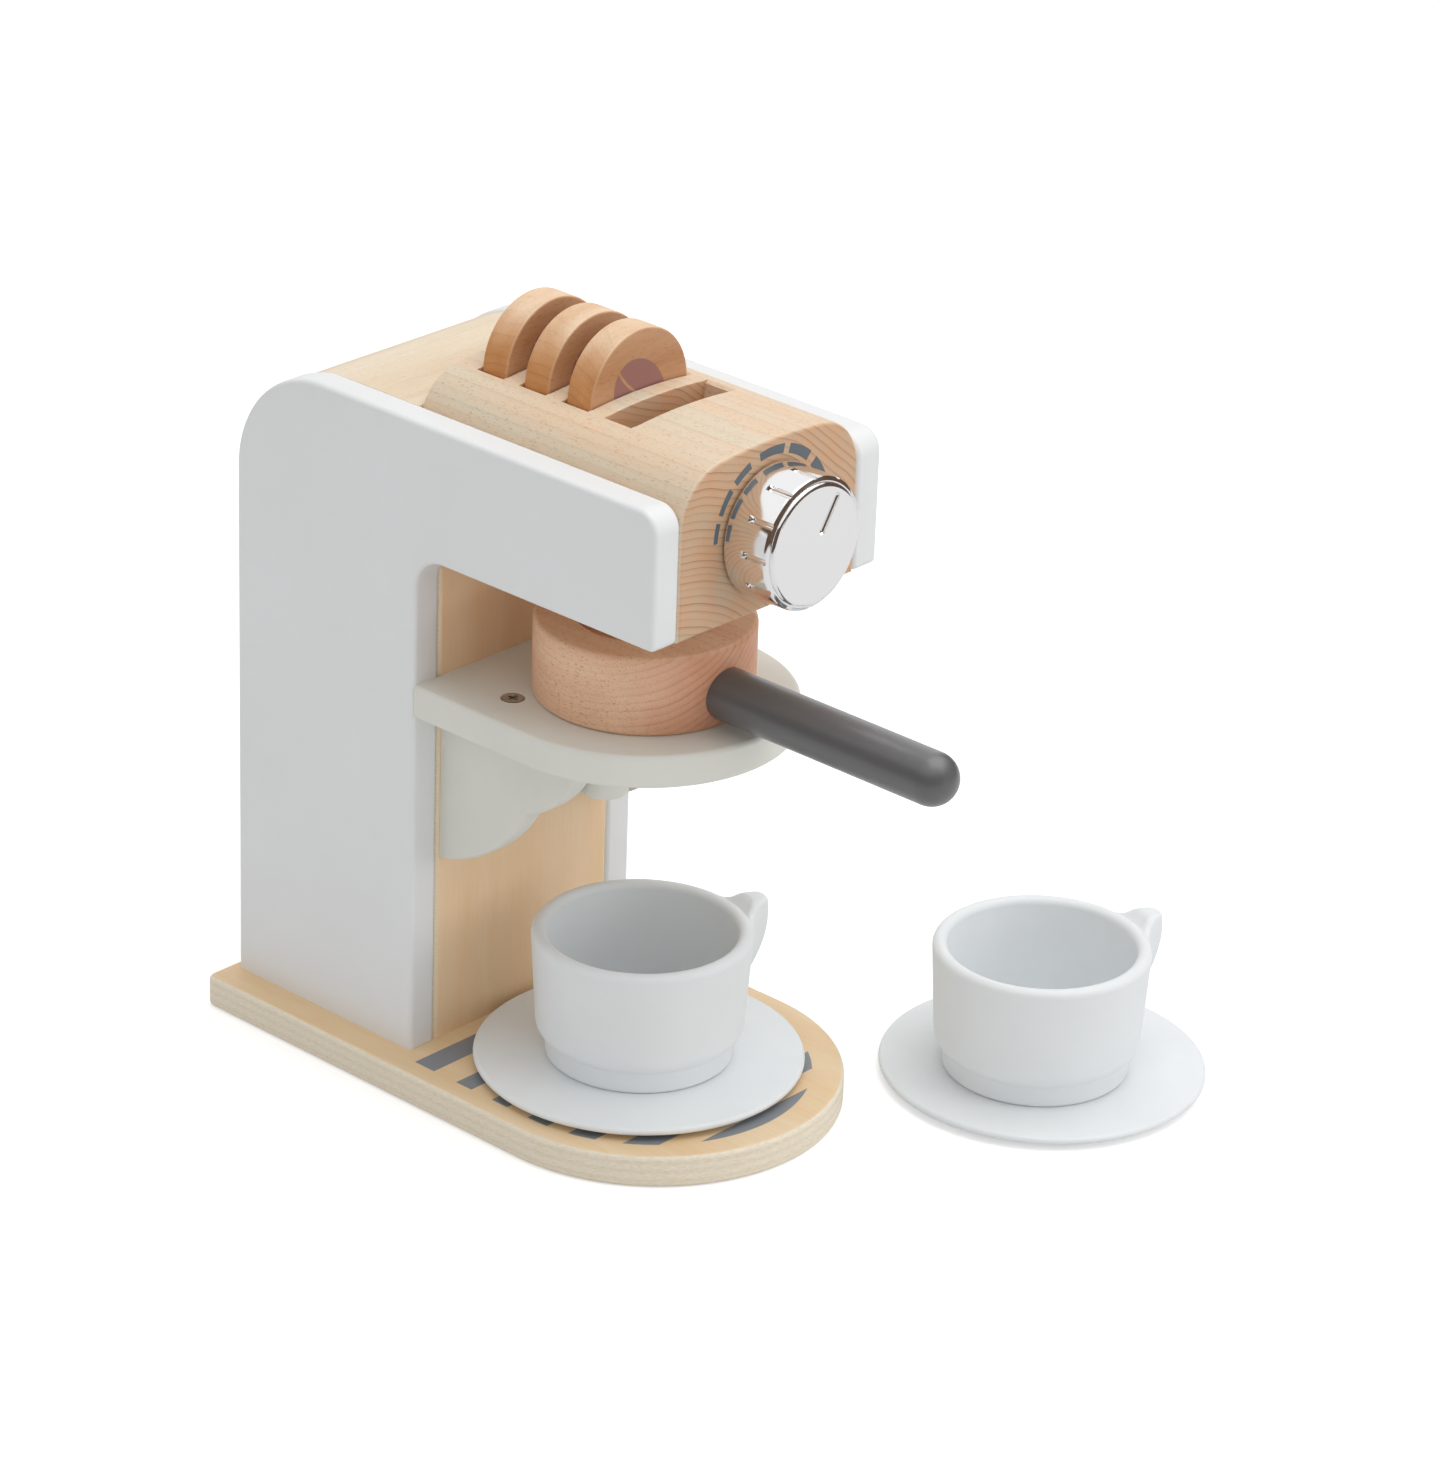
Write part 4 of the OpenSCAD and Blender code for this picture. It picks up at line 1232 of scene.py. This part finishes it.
@dataclass
class Knob:
    """The chrome cap of the knob: grip grooves, a ring cut round its face and the pointer groove.

    Heights are distances from the head's front face.
    """

    axis_z: float = 229.0
    face_y: float = -89.3  # place of the head's front face
    rear_r: float = 23.57  # radius of the cap at its rear rim
    front_r: float = 23.2  # radius of the cap where its rounding starts
    start: float = 1.0  # height of its rear rim
    rim: float = 0.45  # radius on the rear rim
    rim_rise: float = 0.12  # height at which two thirds of that rounding are done
    proud: float = 20.47  # height of its face
    inner_r: float = 20.25  # radius of its hollow
    wall: float = 2.05  # thickness of its face
    bevel: float = 1.0  # radius of the rounding between the wall and the chamfer
    shoulder: float = 17.9  # height of the rounding's start
    chamfer_r: float = 21.8  # radius at which the chamfer ends
    face_r: float = 19.7  # radius of the flat face
    cut: Point3 = (0.1, 0.4, 0.15)  # start, end and depth of the fine ring inside the chamfer
    grooves: int = 12
    groove_r: float = 1.1
    groove_at: float = 22.9  # distance of a groove's middle from the knob's axis
    groove_len: float = 12.0  # length of a groove from the face
    pointer_angle: float = 58.0  # counted from the right-hand side
    pointer: Point3 = (5.0, 17.4, 1.35)  # inner end, outer end and half width
    pointer_depth: float = 1.2

    def wall_at(self, height: float) -> float:
        """Radius of the tapered wall at one height."""
        part = (height - self.start) / (self.shoulder - self.start)
        return self.rear_r + (self.front_r - self.rear_r) * part

    def angles(self) -> list[float]:
        """Angles of the cap's columns, closer together at the grooves."""
        pitch = 2 * math.pi / self.grooves
        # The columns at a groove start just outside it
        reach = math.asin(self.groove_r / self.groove_at) * 1.02
        out = []
        for i in range(self.grooves):
            out += [i * pitch + reach * k / 4 for k in range(-4, 5)]
            out += [i * pitch + reach + (pitch - 2 * reach) * k / 7 for k in range(1, 7)]
        return out

    def ring(self, radius: float, height: float, open_part: float) -> list[Point3]:
        """A ring of the cap, notched where the grooves are.

        Args:
            radius: radius of the ring.
            height: height of the ring.
            open_part: how deep the grooves are here, 0 to 1.

        Returns:
            Points in the frame.
        """
        pitch = 2 * math.pi / self.grooves
        points = []
        for angle in self.angles():
            off = (angle + pitch / 2) % pitch - pitch / 2
            cross = self.groove_r**2 - (self.groove_at * math.sin(off)) ** 2
            reach = radius
            if cross > 0 and open_part > 0:
                notch = self.groove_at * math.cos(off) + (1 - open_part) - math.sqrt(cross) * open_part
                reach = min(radius, notch)
            points.append(
                (reach * math.cos(angle), self.face_y - height, self.axis_z + reach * math.sin(angle))
            )
        return points

    def rows(self) -> list[Point3]:
        """Radius, height and depth of the grooves for each ring, from the hollow over the rim to the face."""
        groove_end = self.proud - self.groove_len
        margin = 0.3
        rows = [
            (self.inner_r, self.proud - self.wall, 0.0),
            (self.inner_r, self.start, 0.0),
            (self.rear_r - self.rim, self.start, 0.0),
            (self.rear_r - self.rim / 3, self.start + self.rim_rise, 0.0),
        ]
        steps = [(self.start + self.rim, 0.0), (groove_end - margin, 0.0)]
        steps += [(groove_end + self.groove_r * (1 - math.cos(a)), math.sin(a)) for a in quarter(6)]
        steps.append((self.shoulder - margin, 1.0))
        rows += [(self.wall_at(height), height, open_part) for height, open_part in steps]
        # The rounding turns 60 degrees
        for k, turn in enumerate(quarter(9)[:7]):
            reach = self.front_r - self.bevel + self.bevel * math.cos(turn)
            rows.append((reach, self.shoulder + self.bevel * math.sin(turn), 1 - k / 12))
        # The chamfer lies 30 degrees off the face; a fine ring is cut between it and the face's edge
        reach, height = rows[-1][:2]
        for k in (1, 2, 3):
            drop = (reach - self.chamfer_r) * k / 3
            rows.append((reach - drop, height + drop * math.tan(math.radians(30)), 0.5 - k / 6))
        start, end, depth = self.cut
        bottom = rows[-1][1] - depth
        rows += [(self.chamfer_r - start, bottom, 0.0), (self.chamfer_r - end, bottom, 0.0)]
        width = self.chamfer_r - end - start - self.face_r
        for turn in quarter(6):
            lift = (self.proud - bottom) * (1 - math.sin(turn))
            rows.append((self.face_r + width * math.cos(turn), self.proud - lift, 0.0))
        return rows

    def pointer_outline(self, turn: float) -> list[Point3]:
        """The pointer groove's outline at one depth.

        Args:
            turn: angle on its round section, 0 at the face.

        Returns:
            Points in the frame.
        """
        inner, outer, half = self.pointer
        radius = half * math.cos(turn)
        flat = arc((outer, 0), radius, -90, 90, 12) + arc((inner, 0), radius, 90, 270, 12)
        spin = Matrix.Rotation(math.radians(self.pointer_angle), 2)
        y = self.face_y - self.proud + self.pointer_depth * math.sin(turn)
        return [(p.x, y, self.axis_z + p.y) for p in (spin @ Vector(q) for q in flat)]

    def build(self, palette: Palette) -> None:
        """Builds the cap.

        Args:
            palette: the finishes.
        """
        skin = Skin()
        rings = [skin.ring(self.ring(*row)) for row in self.rows()]
        skin.chain(rings)
        skin.cap(rings[0])
        pointer = [skin.ring(self.pointer_outline(math.radians(12 * k))) for k in range(8)]
        skin.chain(pointer)
        skin.cap(pointer[-1])
        skin.cap(rings[-1], [pointer[0]])
        skin.piece("knob_shell", "knob", "knob_cap", Slot.CHROME, palette.chrome, sharp=28)


@dataclass
class Portafilter:
    """The turned bowl with its pad recess, and the dark handle."""

    centre: Point2 = (0.0, -35.1)  # x and y of the bowl's axis
    base_z: float = 152.2
    radius: float = 38.17
    height: float = 28.6
    edge: float = 1.8
    recess: Point3 = (24.3, 16.1, 0.4)  # radius, floor height and floor radius of the recess
    recess_edge: float = 0.7
    handle_r: float = 9.3
    handle_z: float = 163.6
    handle_y: Point2 = (-69.3, -172.8)  # places of the handle's start in the bowl and of its tip

    def build(self, palette: Palette) -> None:
        """Builds the bowl and the handle.

        Args:
            palette: the finishes.
        """
        recess_r, floor, fillet = self.recess
        bowl = Skin()
        profile = rounded_path([
            (0, 0, 0), (self.radius, 0, self.edge), (self.radius, self.height, self.edge),
            (recess_r, self.height, self.recess_edge), (recess_r, floor, fillet), (0, floor, 0),
        ], 5)
        bowl.lathe(profile, upright(*self.centre, self.base_z), 128)
        bowl.piece("bowl", "portafilter", "portafilter_bowl", Slot.BEECH, palette.bowl_beech)
        handle = Skin()
        start_y, tip_y = self.handle_y
        length = start_y - tip_y
        end = arc((0, length - self.handle_r), self.handle_r, 0, 90, 14)[:-1]
        profile = [(0, 0), (self.handle_r, 0), *end, (0, length)]
        handle.lathe(profile, to_front(0, start_y, self.handle_z), 64)
        handle.piece("handle", "portafilter", "portafilter_handle", Slot.DARK, palette.dark)


@dataclass
class Pads:
    """Three wooden coffee pads that stand in the slots."""

    places: tuple[float, ...] = (-23.7, -4.1, 15.5)  # each pad's middle along Y
    centre_z: float = 258.2
    radius: float = 23.38
    thick: float = 11.4
    edge: float = 0.9

    def build(self, palette: Palette) -> None:
        """Builds the pads.

        Args:
            palette: the finishes.
        """
        rim = [(self.radius, 0, self.edge), (self.radius, self.thick, self.edge)]
        profile = rounded_path([(0, 0, 0), *rim, (0, self.thick, 0)], 5)
        for i, y in enumerate(self.places, 1):
            skin = Skin()
            skin.lathe(profile, to_front(0, y + self.thick / 2, self.centre_z), 112)
            skin.piece(f"pad_{i}_disc", f"pad_{i}", f"coffee_pad_{i}", Slot.BEECH, palette.pad_beech)


@dataclass
class Tableware:
    """Two white cups with lugs and two saucers."""

    cups: tuple[Point3, ...] = ((-2.5, -40.2, 16.6), (107.4, -129.4, 4.6))  # each cup's foot
    saucers: tuple[Point3, ...] = ((-2.5, -40.2, 12.0), (111.4, -129.4, 0.0))  # each saucer's foot
    lug_angle: float = -18.0  # direction of the lugs, counted from the right-hand side
    height: float = 48.0
    rim_r: float = 38.5
    wall: float = 5.2  # thickness of the rim
    foot_r: float = 33.0
    foot_h: float = 8.4  # height of the foot ring
    foot_edge: float = 1.3
    step_r: float = 33.6  # radius of the ledge above the foot ring
    turn_r: float = 6.0  # radius of the turn above the ledge
    belly_r: float = 36.6  # radius of the cup above the turn
    floor_z: float = 6.0  # height of the hollow's floor
    hollow_r: float = 31.0  # radius of the hollow above its floor's fillet
    fillet: float = 6.0  # radius of that fillet
    lug_reach: float = 49.2  # reach of the lug from the axis
    lug_half: float = 4.1
    lug_turn: float = 3.1  # radius of the lug's corners seen from above
    lug_edge: float = 1.5  # radius on the lug's upper edge
    lug_curve: Point3 = (18.2, 44.2, 31.0)  # reach, height and radius of the curve under the lug
    lug_fade: Point2 = (14.0, 6.0)  # height at which that curve leaves the wall, and over how much
    lug_top: float = 50.2
    lug_dip: Point3 = (35.9, 56.0, 8.0)  # reach, height and radius of the circle that hollows its top
    lug_span: Point2 = (6.0, 36.8)  # angles on the rim where the lug's edge and its top end
    flare: float = 18.0  # radius of the flare at the lug's root
    saucer_r: float = 58.0
    saucer_t: float = 4.6
    saucer_foot: float = 42.0
    saucer_rim: float = 1.3

    def lug_columns(self) -> list[Point2]:
        """Half of the lug seen from above, from its root to its middle.

        Returns:
            For each column, its distance from the lug's middle plane and how far out it lies, from 0
            at the wall to 1 at the tip.
        """
        # The root lies just inside the rim, so that it never stands clear of the wall
        wall, tip, half = self.rim_r - 0.3, self.lug_reach, self.lug_half
        turn, flare = self.lug_turn, self.flare
        corner = (tip - turn, half - turn)
        # The flare's circle touches the wall and the circle of the corner
        far, near, wide = math.hypot(*corner), turn + flare, wall + flare
        swing = math.atan2(corner[1], corner[0])
        swing += math.acos((far**2 + wide**2 - near**2) / (2 * far * wide))
        middle = (wide * math.cos(swing), wide * math.sin(swing))
        end = math.degrees(math.atan2(corner[1] - middle[1], corner[0] - middle[0])) % 360
        curve = arc(middle, flare, math.degrees(swing) + 180, end, 10)
        around = arc(corner, turn, end - 180, 0, 6)
        top = [(tip, (half - turn) / 2), (tip, 0.0)]
        out = []
        for u, v in [*curve, *around[1:], *top]:
            base = math.sqrt(wall**2 - v**2)
            out.append((v, max(0.0, (u - base) / (tip - base))))
        return out

    def rows(self) -> list[tuple[float, ...]]:
        """Rows of the cup's skin, from the foot over the rim to the hollow's floor.

        Returns:
            For each row, the wall's radius and height, the lug's reach, how much of the lug's rise
            over the wall it has, and how far the row lies below and inside the lug's upper edge.
        """
        rim, edge = self.wall / 2, self.lug_edge
        rim_x, rim_z = self.rim_r - rim, self.height - rim
        turn_x = self.belly_r - self.turn_r
        turn_z = self.foot_h + math.sqrt(self.turn_r**2 - (self.step_r - turn_x) ** 2)
        low = math.degrees(math.asin((self.foot_h - turn_z) / self.turn_r))
        # The foot ring, the narrow ledge over it and the turn into the wall
        foot = rounded_path([
            (self.foot_r - 1.8, 0, 0), (self.foot_r, 0, self.foot_edge), (self.foot_r, self.foot_h, 0.3),
            (self.step_r + 0.05, self.foot_h, 0),
        ], 3)
        rows = self._bare([*foot, *arc((turn_x, turn_z), self.turn_r, low + 4, 0, 7)])
        # Up the wall and the lug's underside, to just below the round rim
        cut, brow = self.lug_top - edge, rim_z - 0.6
        at, level, radius = self.lug_curve
        tip_reach = at + math.sqrt(radius**2 - (cut - level) ** 2)
        for share in (k / 14 for k in range(1, 15)):
            z = turn_z + (brow - turn_z) * share
            wall_r = self.belly_r + (self.rim_r - self.belly_r) * (z - turn_z) / (rim_z - turn_z)
            reach = self._lug_reach_at(turn_z + (cut - turn_z) * share, wall_r)
            rows.append((wall_r, z, reach, share, edge + (brow - z), 0.0))
        # Round the lug's upper edge and back over its top, then round the rest of the rim
        edge_end, top_end = self.lug_span
        rim_arc = partial(arc, (rim_x, rim_z), rim)
        for (r, z), a in zip(rim_arc(-edge_end / 2, edge_end, 3), quarter(4)[1:]):
            back = edge * (1 - math.cos(a))
            rows.append((r, z, tip_reach - back, 1.0, edge - edge * math.sin(a), back))
        for k, (r, z) in enumerate(rim_arc(edge_end, top_end, 7)[1:], 1):
            tip = (tip_reach - edge) + (r - tip_reach + edge) * k / 7
            rows.append((r, z, tip, 1 - (k / 7) ** 6, 0.0, edge * (1 - (k / 7) ** 2)))
        hollow = rounded_path([
            (self.rim_r - self.wall, rim_z - 1.0, 0), (self.hollow_r, self.floor_z + self.fillet, 8.0),
            (self.hollow_r - self.fillet * 0.9, self.floor_z, 7.0), (12, self.floor_z, 0),
        ])
        return rows + self._bare([*rim_arc(top_end, 180, 14)[1:], *hollow])

    @staticmethod
    def _bare(points: Sequence[Point2]) -> list[tuple[float, ...]]:
        """Rows without a lug."""
        return [(r, z, r, 0.0, 0.0, 0.0) for r, z in points]

    def _top_at(self, reach: float) -> float:
        """Height of the lug's hollowed top at one reach."""
        middle, height, radius = self.lug_dip
        span = radius**2 - (reach - middle) ** 2
        return min(self.lug_top, height - math.sqrt(span)) if span > 0 else self.lug_top

    def _lug_reach_at(self, z: float, wall: float) -> float:
        """Reach of the lug at one height, blended softly into the wall below it.

        Args:
            z: height on the curve under the lug.
            wall: radius of the wall beside it.

        Returns:
            The reach from the axis.
        """
        at, level, radius = self.lug_curve
        start, length = self.lug_fade
        soft = 1.5
        span = radius**2 - (z - level) ** 2
        spare = at + math.sqrt(span) - wall if span > 0 else -8
        return wall + (spare + math.sqrt(spare**2 + soft)) / 2 * min(1.0, max(0.0, (z - start) / length))

    def cup_skin(self, place: Point3) -> Skin:
        """Builds the skin of one cup.

        Args:
            place: place of its foot.

        Returns:
            The closed skin.
        """
        skin = Skin()
        half = self.lug_columns()
        columns = half + [(-v, out) for v, out in reversed(half[:-1])]
        around = 92
        rings = []
        for wall_r, wall_z, reach, share, below, drawn in self.rows():
            points = []
            for v, out in columns:
                side = v - math.copysign(drawn * out, v) if abs(v) > drawn else v * (1 - out)
                if reach <= wall_r + 1e-6:
                    side *= min(1.0, wall_r / self.rim_r)
                base = math.sqrt(wall_r**2 - side**2)
                u = base + max(0.0, reach - base) * out if reach > wall_r else base
                z = wall_z + share * (self._top_at(u) - below - wall_z) * (1 - (1 - out) ** 3)
                points.append((u, side, z))
            start = math.atan2(points[0][1], points[0][0])
            stop = math.atan2(points[-1][1], points[-1][0]) + 2 * math.pi
            rest = (start + (stop - start) * k / around for k in range(1, around))
            points = points[::-1] + [(wall_r * math.cos(a), wall_r * math.sin(a), wall_z) for a in rest]
            rings.append(skin.ring([self._placed(p, place) for p in points]))
        skin.chain(rings)
        skin.fan(rings[0], place)
        skin.fan(rings[-1], (place[0], place[1], place[2] + self.floor_z))
        return skin

    def _placed(self, point: Point3, place: Point3) -> Point3:
        """Turns a cup's point to the lug's direction and moves it to the cup's place.

        Args:
            point: point with the lug along +X and the foot at the origin.
            place: place of the foot.

        Returns:
            The point in the frame.
        """
        a = math.radians(self.lug_angle)
        x, y, z = point
        turned = (x * math.cos(a) - y * math.sin(a), x * math.sin(a) + y * math.cos(a))
        return (place[0] + turned[0], place[1] + turned[1], place[2] + z)

    def build(self, palette: Palette) -> None:
        """Builds the cups and saucers.

        Args:
            palette: the finishes.
        """
        order = ("first", "second")
        for i, (name, place) in enumerate(zip(order, self.cups), 1):
            skin = self.cup_skin(place)
            skin.piece(f"{name}_cup_body", f"{name}_cup", f"cup_{i}", Slot.CUP, palette.cup, sharp=50)
        rim_at = (self.saucer_r - self.saucer_rim, self.saucer_t - self.saucer_rim)
        foot = [(0, 0), (self.saucer_foot - 0.4, 0), (self.saucer_foot, 0.1)]
        profile = [*foot, *arc(rim_at, self.saucer_rim - 0.02, -80, 90, 10), (0, self.saucer_t)]
        for i, (name, place) in enumerate(zip(order, self.saucers), 1):
            skin = Skin()
            skin.lathe(profile, upright(*place), 128)
            skin.piece(f"{name}_saucer_disc", f"{name}_saucer", f"saucer_{i}", Slot.CUP, palette.cup)


@dataclass
class InnerPieces:
    """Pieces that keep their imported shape: battens, rail, dowels, screws, hub and washer."""

    wooden: tuple[str, ...] = ("front_batten", "rear_batten", "cover_rail", "panel_dowels", "shelf_dowels")
    screws: tuple[str, ...] = ("base_screws", "shelf_screws", "bracket_screws", "knob_screw")
    hub: tuple[str, ...] = ("knob_hub",)
    washer: tuple[str, ...] = ("knob_washer",)

    def dress(self, nodes: dict[str, bpy.types.Object], palette: Palette) -> None:
        """Gives each of them its finish.

        Args:
            nodes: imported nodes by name.
            palette: the finishes.
        """
        for names, material, slot in (
            (self.wooden, palette.inner_beech, Slot.BEECH),
            (self.screws, palette.steel, Slot.STEEL),
            (self.hub, palette.plastic, Slot.HUB),
            (self.washer, palette.felt, Slot.FELT),
        ):
            for name in names:
                paint(nodes[name], material)
                LOG.info("%s keeps its packed shape", name)


# ---------------------------------------------------------------- surroundings


@dataclass
class Studio:
    """The camera, the lamps, the white floor and the glowing dark sheets that paint reflections into the
    chrome, with places in metres.
    """

    eye: Point3 = (-1.2591, -1.1969, 0.9415)
    yaw: float = 0.841  # the camera's heading, clockwise from +Y, in radians
    pitch: float = 0.439  # how far it looks down, in radians
    roll: float = 0.036
    lens: float = 136.5
    sensor: float = 36.0  # height of the sensor in millimetres
    fill: float = 0.63  # strength of the even light from all round
    lamps: tuple[tuple[str, float, Point3, float], ...] = (
        ("overhead_lamp", 21.5, (0.4, -0.4, 2.2), 2.0),
        ("side_lamp", 7.5, (1.2, -2.0, 0.9), 1.2),
    )  # name, power in watts, place and side of each lamp
    aim: Point3 = (0.0, -0.03, 0.12)  # point that the lamps are aimed at
    floor_size: float = 9.0
    wall_r: float = 1.5  # distance of the glowing dark sheets, a painted reflection that only bright metal mirrors
    wall_foot: float = -0.001
    wall_top: float = 1.15
    wall_span: Point2 = (85.0, 380.0)  # the part of the circle they take up, from the right-hand side
    doorway: Point3 = (265.0, 283.0, 0.33)  # first and last angle and height of the opening before the dial

    def camera(self) -> None:
        """Makes the camera and sets how colours are shown."""
        scene = bpy.context.scene
        data = bpy.data.cameras.new("camera")
        data.sensor_fit = "VERTICAL"
        data.sensor_height = self.sensor
        data.lens = self.lens
        data.clip_end = 50
        obj = bpy.data.objects.new("camera", data)
        cy, sy, cp, sp = math.cos(self.yaw), math.sin(self.yaw), math.cos(self.pitch), math.sin(self.pitch)
        forward = Vector((sy * cp, cy * cp, -sp))
        right = Vector((cy, -sy, 0))
        up = right.cross(forward)
        side = right * math.cos(self.roll) + up * math.sin(self.roll)
        top = up * math.cos(self.roll) - right * math.sin(self.roll)
        turn = Matrix((side, top, -forward)).transposed().to_4x4()
        obj.matrix_world = Matrix.Translation(self.eye) @ turn
        scene.collection.objects.link(obj)
        scene.camera = obj
        scene.view_settings.view_transform = "Standard"

    def lights(self) -> None:
        """Makes the even surroundings and the lamps."""
        scene = bpy.context.scene
        world = bpy.data.worlds.new("surroundings")
        world.use_nodes = True
        add = partial(add_node, world.node_tree)
        path = add("LightPath").node.outputs
        seen = add("Math", [path["Is Camera Ray"], path["Is Transmission Ray"]], operation="MAXIMUM")
        mirrored = add("Math", [seen, path["Is Glossy Ray"]], operation="MAXIMUM")
        strength = add("Mix", {"Factor": mirrored, 2: self.fill, 3: 1.0}, data_type="FLOAT")
        feed(world.node_tree.nodes["Background"], {"Color": linear("#ffffff"), "Strength": strength})
        scene.world = world
        for name, power, place, side in self.lamps:
            lamp = bpy.data.lights.new(name, "AREA")
            lamp.shape = "SQUARE"
            lamp.size = side
            lamp.energy = power
            obj = bpy.data.objects.new(name, lamp)
            aim = Vector(self.aim) - Vector(place)
            obj.matrix_world = Matrix.Translation(place) @ aim.to_track_quat("-Z", "Y").to_matrix().to_4x4()
            scene.collection.objects.link(obj)

    def walls(self) -> None:
        """Makes glowing dark-brown sheets round the toy that only reflections see: a painted reflection of
        dark surroundings in the bright metal.
        """
        material, add, _ = new_material("dark_wall")
        cloud = add("TexNoise", {"Vector": add("TexCoord", out="Object"), "Scale": 3.0, "Detail": 2.0})
        # Painted reflection: a dark-brown glow that the chrome mirrors as its dark and brown bands
        links = {"Factor": cloud, 6: linear("#2c201a"), 7: linear("#7e6656")}
        tone = add("Mix", links, 2, data_type="RGBA")
        glow = add("Emission", {"Color": tone, "Strength": 1.0})
        feed(material.node_tree.nodes["Material Output"], {"Surface": glow})
        circuit = arc((0, 0), self.wall_r / MM, *self.wall_span, 60)
        start, end, lintel = self.doorway
        foot = []
        for x, y in circuit:
            clear = start < math.degrees(math.atan2(y, x)) % 360 < end
            foot.append((x, y, (lintel if clear else self.wall_foot) / MM))
        skin = Skin()
        rings = [skin.ring(foot)]
        rings += [skin.ring([(x, y, share * self.wall_top / MM) for x, y in circuit]) for share in (0.5, 1.0)]
        skin.chain(rings, closed=False)
        obj = skin.to_object("walls", material)
        for kind in ("camera", "diffuse", "transmission", "volume_scatter", "shadow"):
            setattr(obj, "visible_" + kind, False)

    def floor(self) -> None:
        """Makes the floor: white paper that still takes a soft shadow."""
        material, add, shader = new_material("white_paper")
        grain = add("TexNoise", {"Vector": add("TexCoord", out="Object"), "Scale": 400.0, "Detail": 2.0})
        links = {"Factor": grain, 6: linear("#eaeaea"), 7: linear("#e7e7e7")}
        tone = add("Mix", links, 2, data_type="RGBA")
        feed(shader, {"Base Color": tone, "Roughness": 1.0, "Specular IOR Level": 0.0})
        # Only what the camera sees is lifted to white, so the floor adds no light to the toy
        lift = add("Math", [add("LightPath", out="Is Camera Ray"), 0.45], operation="MULTIPLY")
        glow = add("Emission", {"Color": linear("#ffffff"), "Strength": lift})
        both = add("AddShader", [shader.outputs[0], glow])
        feed(material.node_tree.nodes["Material Output"], {"Surface": both})
        skin = Skin()
        half = self.floor_size / 2 / MM
        skin.cap(skin.ring([(x * half, y * half, 0) for x, y in ((-1, -1), (1, -1), (1, 1), (-1, 1))]))
        obj = skin.to_object("floor", material)
        # A hair below the feet, so the two never share a plane
        obj.location.z = -0.2 * MM


def main() -> None:
    """Builds the scene."""
    logging.basicConfig(level=logging.INFO, format="%(message)s")
    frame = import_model()
    studio = Studio()
    studio.camera()
    studio.lights()
    studio.floor()
    studio.walls()
    palette = Palette()
    for group in (
        SidePanels(), HeadBlock(), Column(), BaseBoard(), Shelf(), Knob(), Portafilter(), Pads(), Tableware()
    ):
        group.build(palette)
    InnerPieces().dress(frame["nodes"], palette)


if __name__ == "__main__":
    main()
